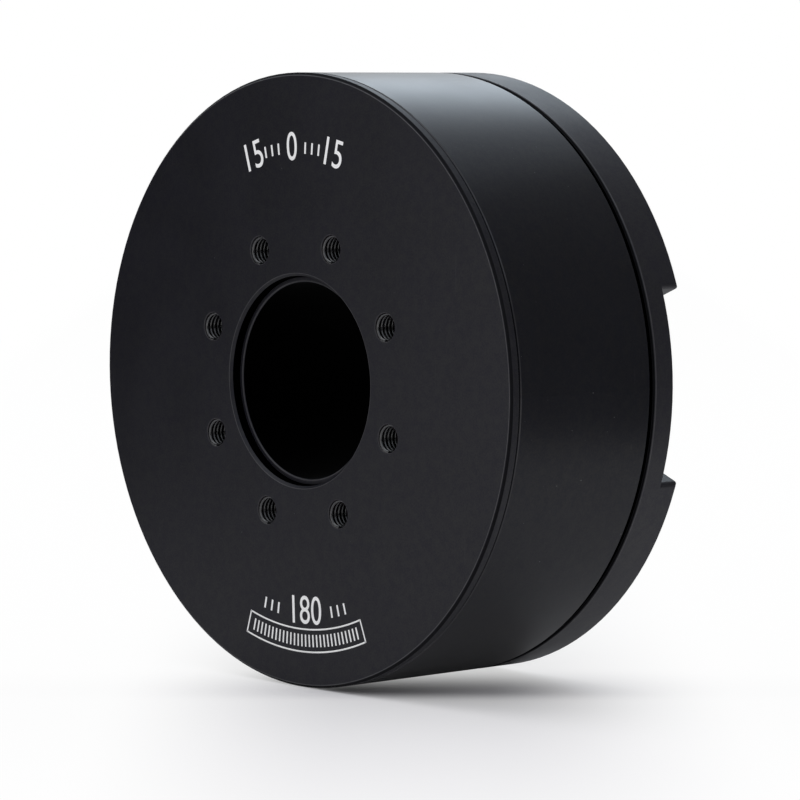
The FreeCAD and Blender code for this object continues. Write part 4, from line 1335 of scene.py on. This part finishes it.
@dataclass
class Studio:
    """The floor, dark cards, soft lights, world and camera."""

    eye: Triple = (0.64542, -0.60756, 0.06300)
    aim: Triple = (-0.00099, -0.02135, -0.00561)
    lens: float = 182.11
    ambient: float = 0.75
    overhead: float = 0.58
    overhead_edge: Fade = Fade(0.45, 0.80)
    cool_sky: Triple = (0.91, 0.99, 1.09)
    cool_edge: Fade = Fade(0.25, 0.6)
    floor_middle: Triple = (0.0, -0.0256, -65.02 * MM)
    floor_size: float = 6.0
    floor_seen: Triple = (0.88, 0.875, 0.91)
    floor_cast: Triple = (0.78, 0.78, 0.80)
    floor_white: Fade = Fade(0.08, 0.5)
    strip_turn: float = math.radians(42.2)
    strip_offset: float = 0.012
    ahead_near: Fade = Fade(0.042, 0.056, 0.26)
    ahead_far: Fade = Fade(0.07, 0.30, 0.74)
    behind: Fade = Fade(0.042, 0.006, 0.65)
    beside_near: Fade = Fade(0.014, 0.068, 0.92)
    beside_far: Fade = Fade(0.06, 0.2)
    cards: tuple[Card, ...] = (
        Card("flag_right_rear", (0.139, 0.137), 0.11, (0.5, 0.35), 0.30),
        Card("flag_camera", (0.74, -0.81), 0.1, (1.0, 0.9), 0.03),
        Card("flag_left", (-0.215, -0.145), 0.06, (0.24, 0.26), 0.05))
    lamps: tuple[Lamp, ...] = (
        Lamp("rear_softbox", (-0.44, 0.565, 0.465), (0.31, 0.25), 2.4, (0.86, 1.0, 1.12)),
        Lamp("overhead", (-0.25, -0.25, 0.95), (0.7, 0.7), 1.2))

    def flat(self, name: str, middle: Vector, normal: Vector, width: float,
             height: float) -> bpy.types.Object:
        """Makes a stage sheet.

        Args:
            name: Its name.
            middle: Its middle.
            normal: The way it faces.
            width: Its size across.
            height: Its size up.

        Returns:
            The stage object.
        """
        turn = normal.to_track_quat("Z", "Y")
        corners = [(-width, -height), (width, -height), (width, height), (-width, height)]
        points = [middle + turn @ Vector((x / 2, y / 2, 0.0)) for x, y in corners]
        mesh = bpy.data.meshes.new(name)
        mesh.from_pydata([tuple(point) for point in points], [], [(0, 1, 2, 3)])
        sheet = new_object(name, mesh)
        LOG.info("stage %s", name)
        return sheet

    def shadow_strip(self, w: Wiring, place: Value) -> Value:
        """Returns 1 on the strip of floor that keeps its shadow, under and before the object.

        Args:
            w: The floor material's wiring.
            place: The object coordinates.

        Returns:
            The strip's mask, with soft sides.
        """
        turned = w.out("ShaderNodeMapping", {"Vector": place, "Rotation": (0.0, 0.0, self.strip_turn)})
        along, across, _ = w.parts(turned)
        off = abs(across + self.strip_offset)
        ahead = self.ahead_far.read(w, along) + self.ahead_near.read(w, along)
        ends = w.larger(ahead, self.behind.read(w, along))
        sides = w.larger(self.beside_near.read(w, off), self.beside_far.read(w, off))
        return (1.0 - ends) * (1.0 - sides)

    def add_floor(self) -> None:
        """Lays the pale floor, which fades to the white background away from the shadow strip."""
        floor = self.flat("floor", Vector(self.floor_middle), Vector((0.0, 0.0, 1.0)), self.floor_size,
                          self.floor_size)
        material, w = blank_material("pale_floor")
        place = w.out("ShaderNodeTexCoord", output="Object")
        rays = w.outs("ShaderNodeLightPath")
        # the floor is darker to reflected and bounced rays than to the eye: painted shade in what the object
        # reflects
        pale = w.mix(rays["Is Camera Ray"], self.floor_cast, self.floor_seen)
        diffuse = w.out("ShaderNodeBsdfDiffuse", {"Color": pale})
        white = w.out("ShaderNodeEmission", {"Color": (1.0, 1.0, 1.0), "Strength": 1.0})
        away = w.out("ShaderNodeVectorMath", {0: place, 1: self.floor_middle}, output="Value",
                     operation="DISTANCE")
        mirrored = self.floor_white.read(w, away) * seen_directly(w, rays)
        share = w.blend(rays["Is Camera Ray"], mirrored, 1.0 - self.shadow_strip(w, place))
        mixed = w.out("ShaderNodeMixShader", {0: share, 1: diffuse, 2: white})
        w.node("ShaderNodeOutputMaterial", {"Surface": mixed})
        floor.data.materials.append(material)

    def add_card(self, card: Card) -> None:
        """Stands a dark card that faces the shaft and is seen only in reflections.

        Args:
            card: What it is like.
        """
        foot = Vector((*card.foot, 0.0))
        sheet = self.flat(card.name, foot + Vector((0.0, 0.0, card.raised)), -foot, *card.size)
        sheet.visible_camera = sheet.visible_diffuse = sheet.visible_shadow = False
        material, w = blank_material(card.name)
        cloth = w.out("ShaderNodeBsdfDiffuse", {"Color": (card.grey,) * 3})
        w.node("ShaderNodeOutputMaterial", {"Surface": cloth})
        sheet.data.materials.append(material)

    def add_lamp(self, lamp: Lamp) -> None:
        """Hangs a soft light.

        Args:
            lamp: What it is like.
        """
        light = bpy.data.lights.new(lamp.name, "AREA")
        light.shape = "RECTANGLE"
        light.size, light.size_y = lamp.size
        light.energy = lamp.level * math.pi * lamp.size[0] * lamp.size[1]
        light.color = lamp.colour
        holder = new_object(lamp.name, light)
        holder.location = lamp.place
        holder.rotation_euler = (-Vector(lamp.place)).to_track_quat("-Z", "Y").to_euler()
        LOG.info("light %s", lamp.name)

    def add_world(self) -> None:
        """Makes a white surround for the eye and for reflections, and a dim one for diffuse light."""
        world = bpy.data.worlds.new("surround")
        world.use_nodes = True
        w = Wiring(world.node_tree)
        w.tree.nodes.clear()
        rays = w.outs("ShaderNodeLightPath")
        up = w.parts(w.out("ShaderNodeTexCoord", output="Generated"))[2]
        mirrored = self.overhead_edge.read(w, up) * (self.overhead - 1.0) + 1.0
        level = w.blend(seen_directly(w, rays), self.ambient, mirrored)
        level = w.blend(rays["Is Camera Ray"], level, 1.0)
        cool = self.cool_edge.read(w, up) * rays["Is Glossy Ray"]
        tint = w.mix(cool, (1.0, 1.0, 1.0), self.cool_sky)
        sky = w.out("ShaderNodeBackground", {"Color": tint, "Strength": level})
        w.node("ShaderNodeOutputWorld", {"Surface": sky})
        bpy.context.scene.world = world

    def add_camera(self) -> None:
        """Sets the camera at the viewing angle."""
        camera = bpy.data.cameras.new("camera")
        camera.sensor_width = 36.0
        camera.lens = self.lens
        camera.clip_start = 0.01
        holder = new_object("camera", camera)
        holder.location = self.eye
        holder.rotation_euler = (Vector(self.aim) - Vector(self.eye)).to_track_quat("-Z", "Y").to_euler()
        bpy.context.scene.camera = holder

    def build(self) -> None:
        """Builds the whole studio."""
        self.add_camera()
        self.add_world()
        self.add_floor()
        for card in self.cards:
            self.add_card(card)
        for lamp in self.lamps:
            self.add_lamp(lamp)
        bpy.context.scene.view_settings.view_transform = "Standard"


def main() -> None:
    """Builds every sub-assembly, then the studio."""
    logging.basicConfig(level=logging.INFO, format="%(message)s")
    for part in (OutputEnd(), BearingPair(), StatorPack(), BaseEnd(), DriverStack()):
        part.build()
    Studio().build()


if __name__ == "__main__":
    main()
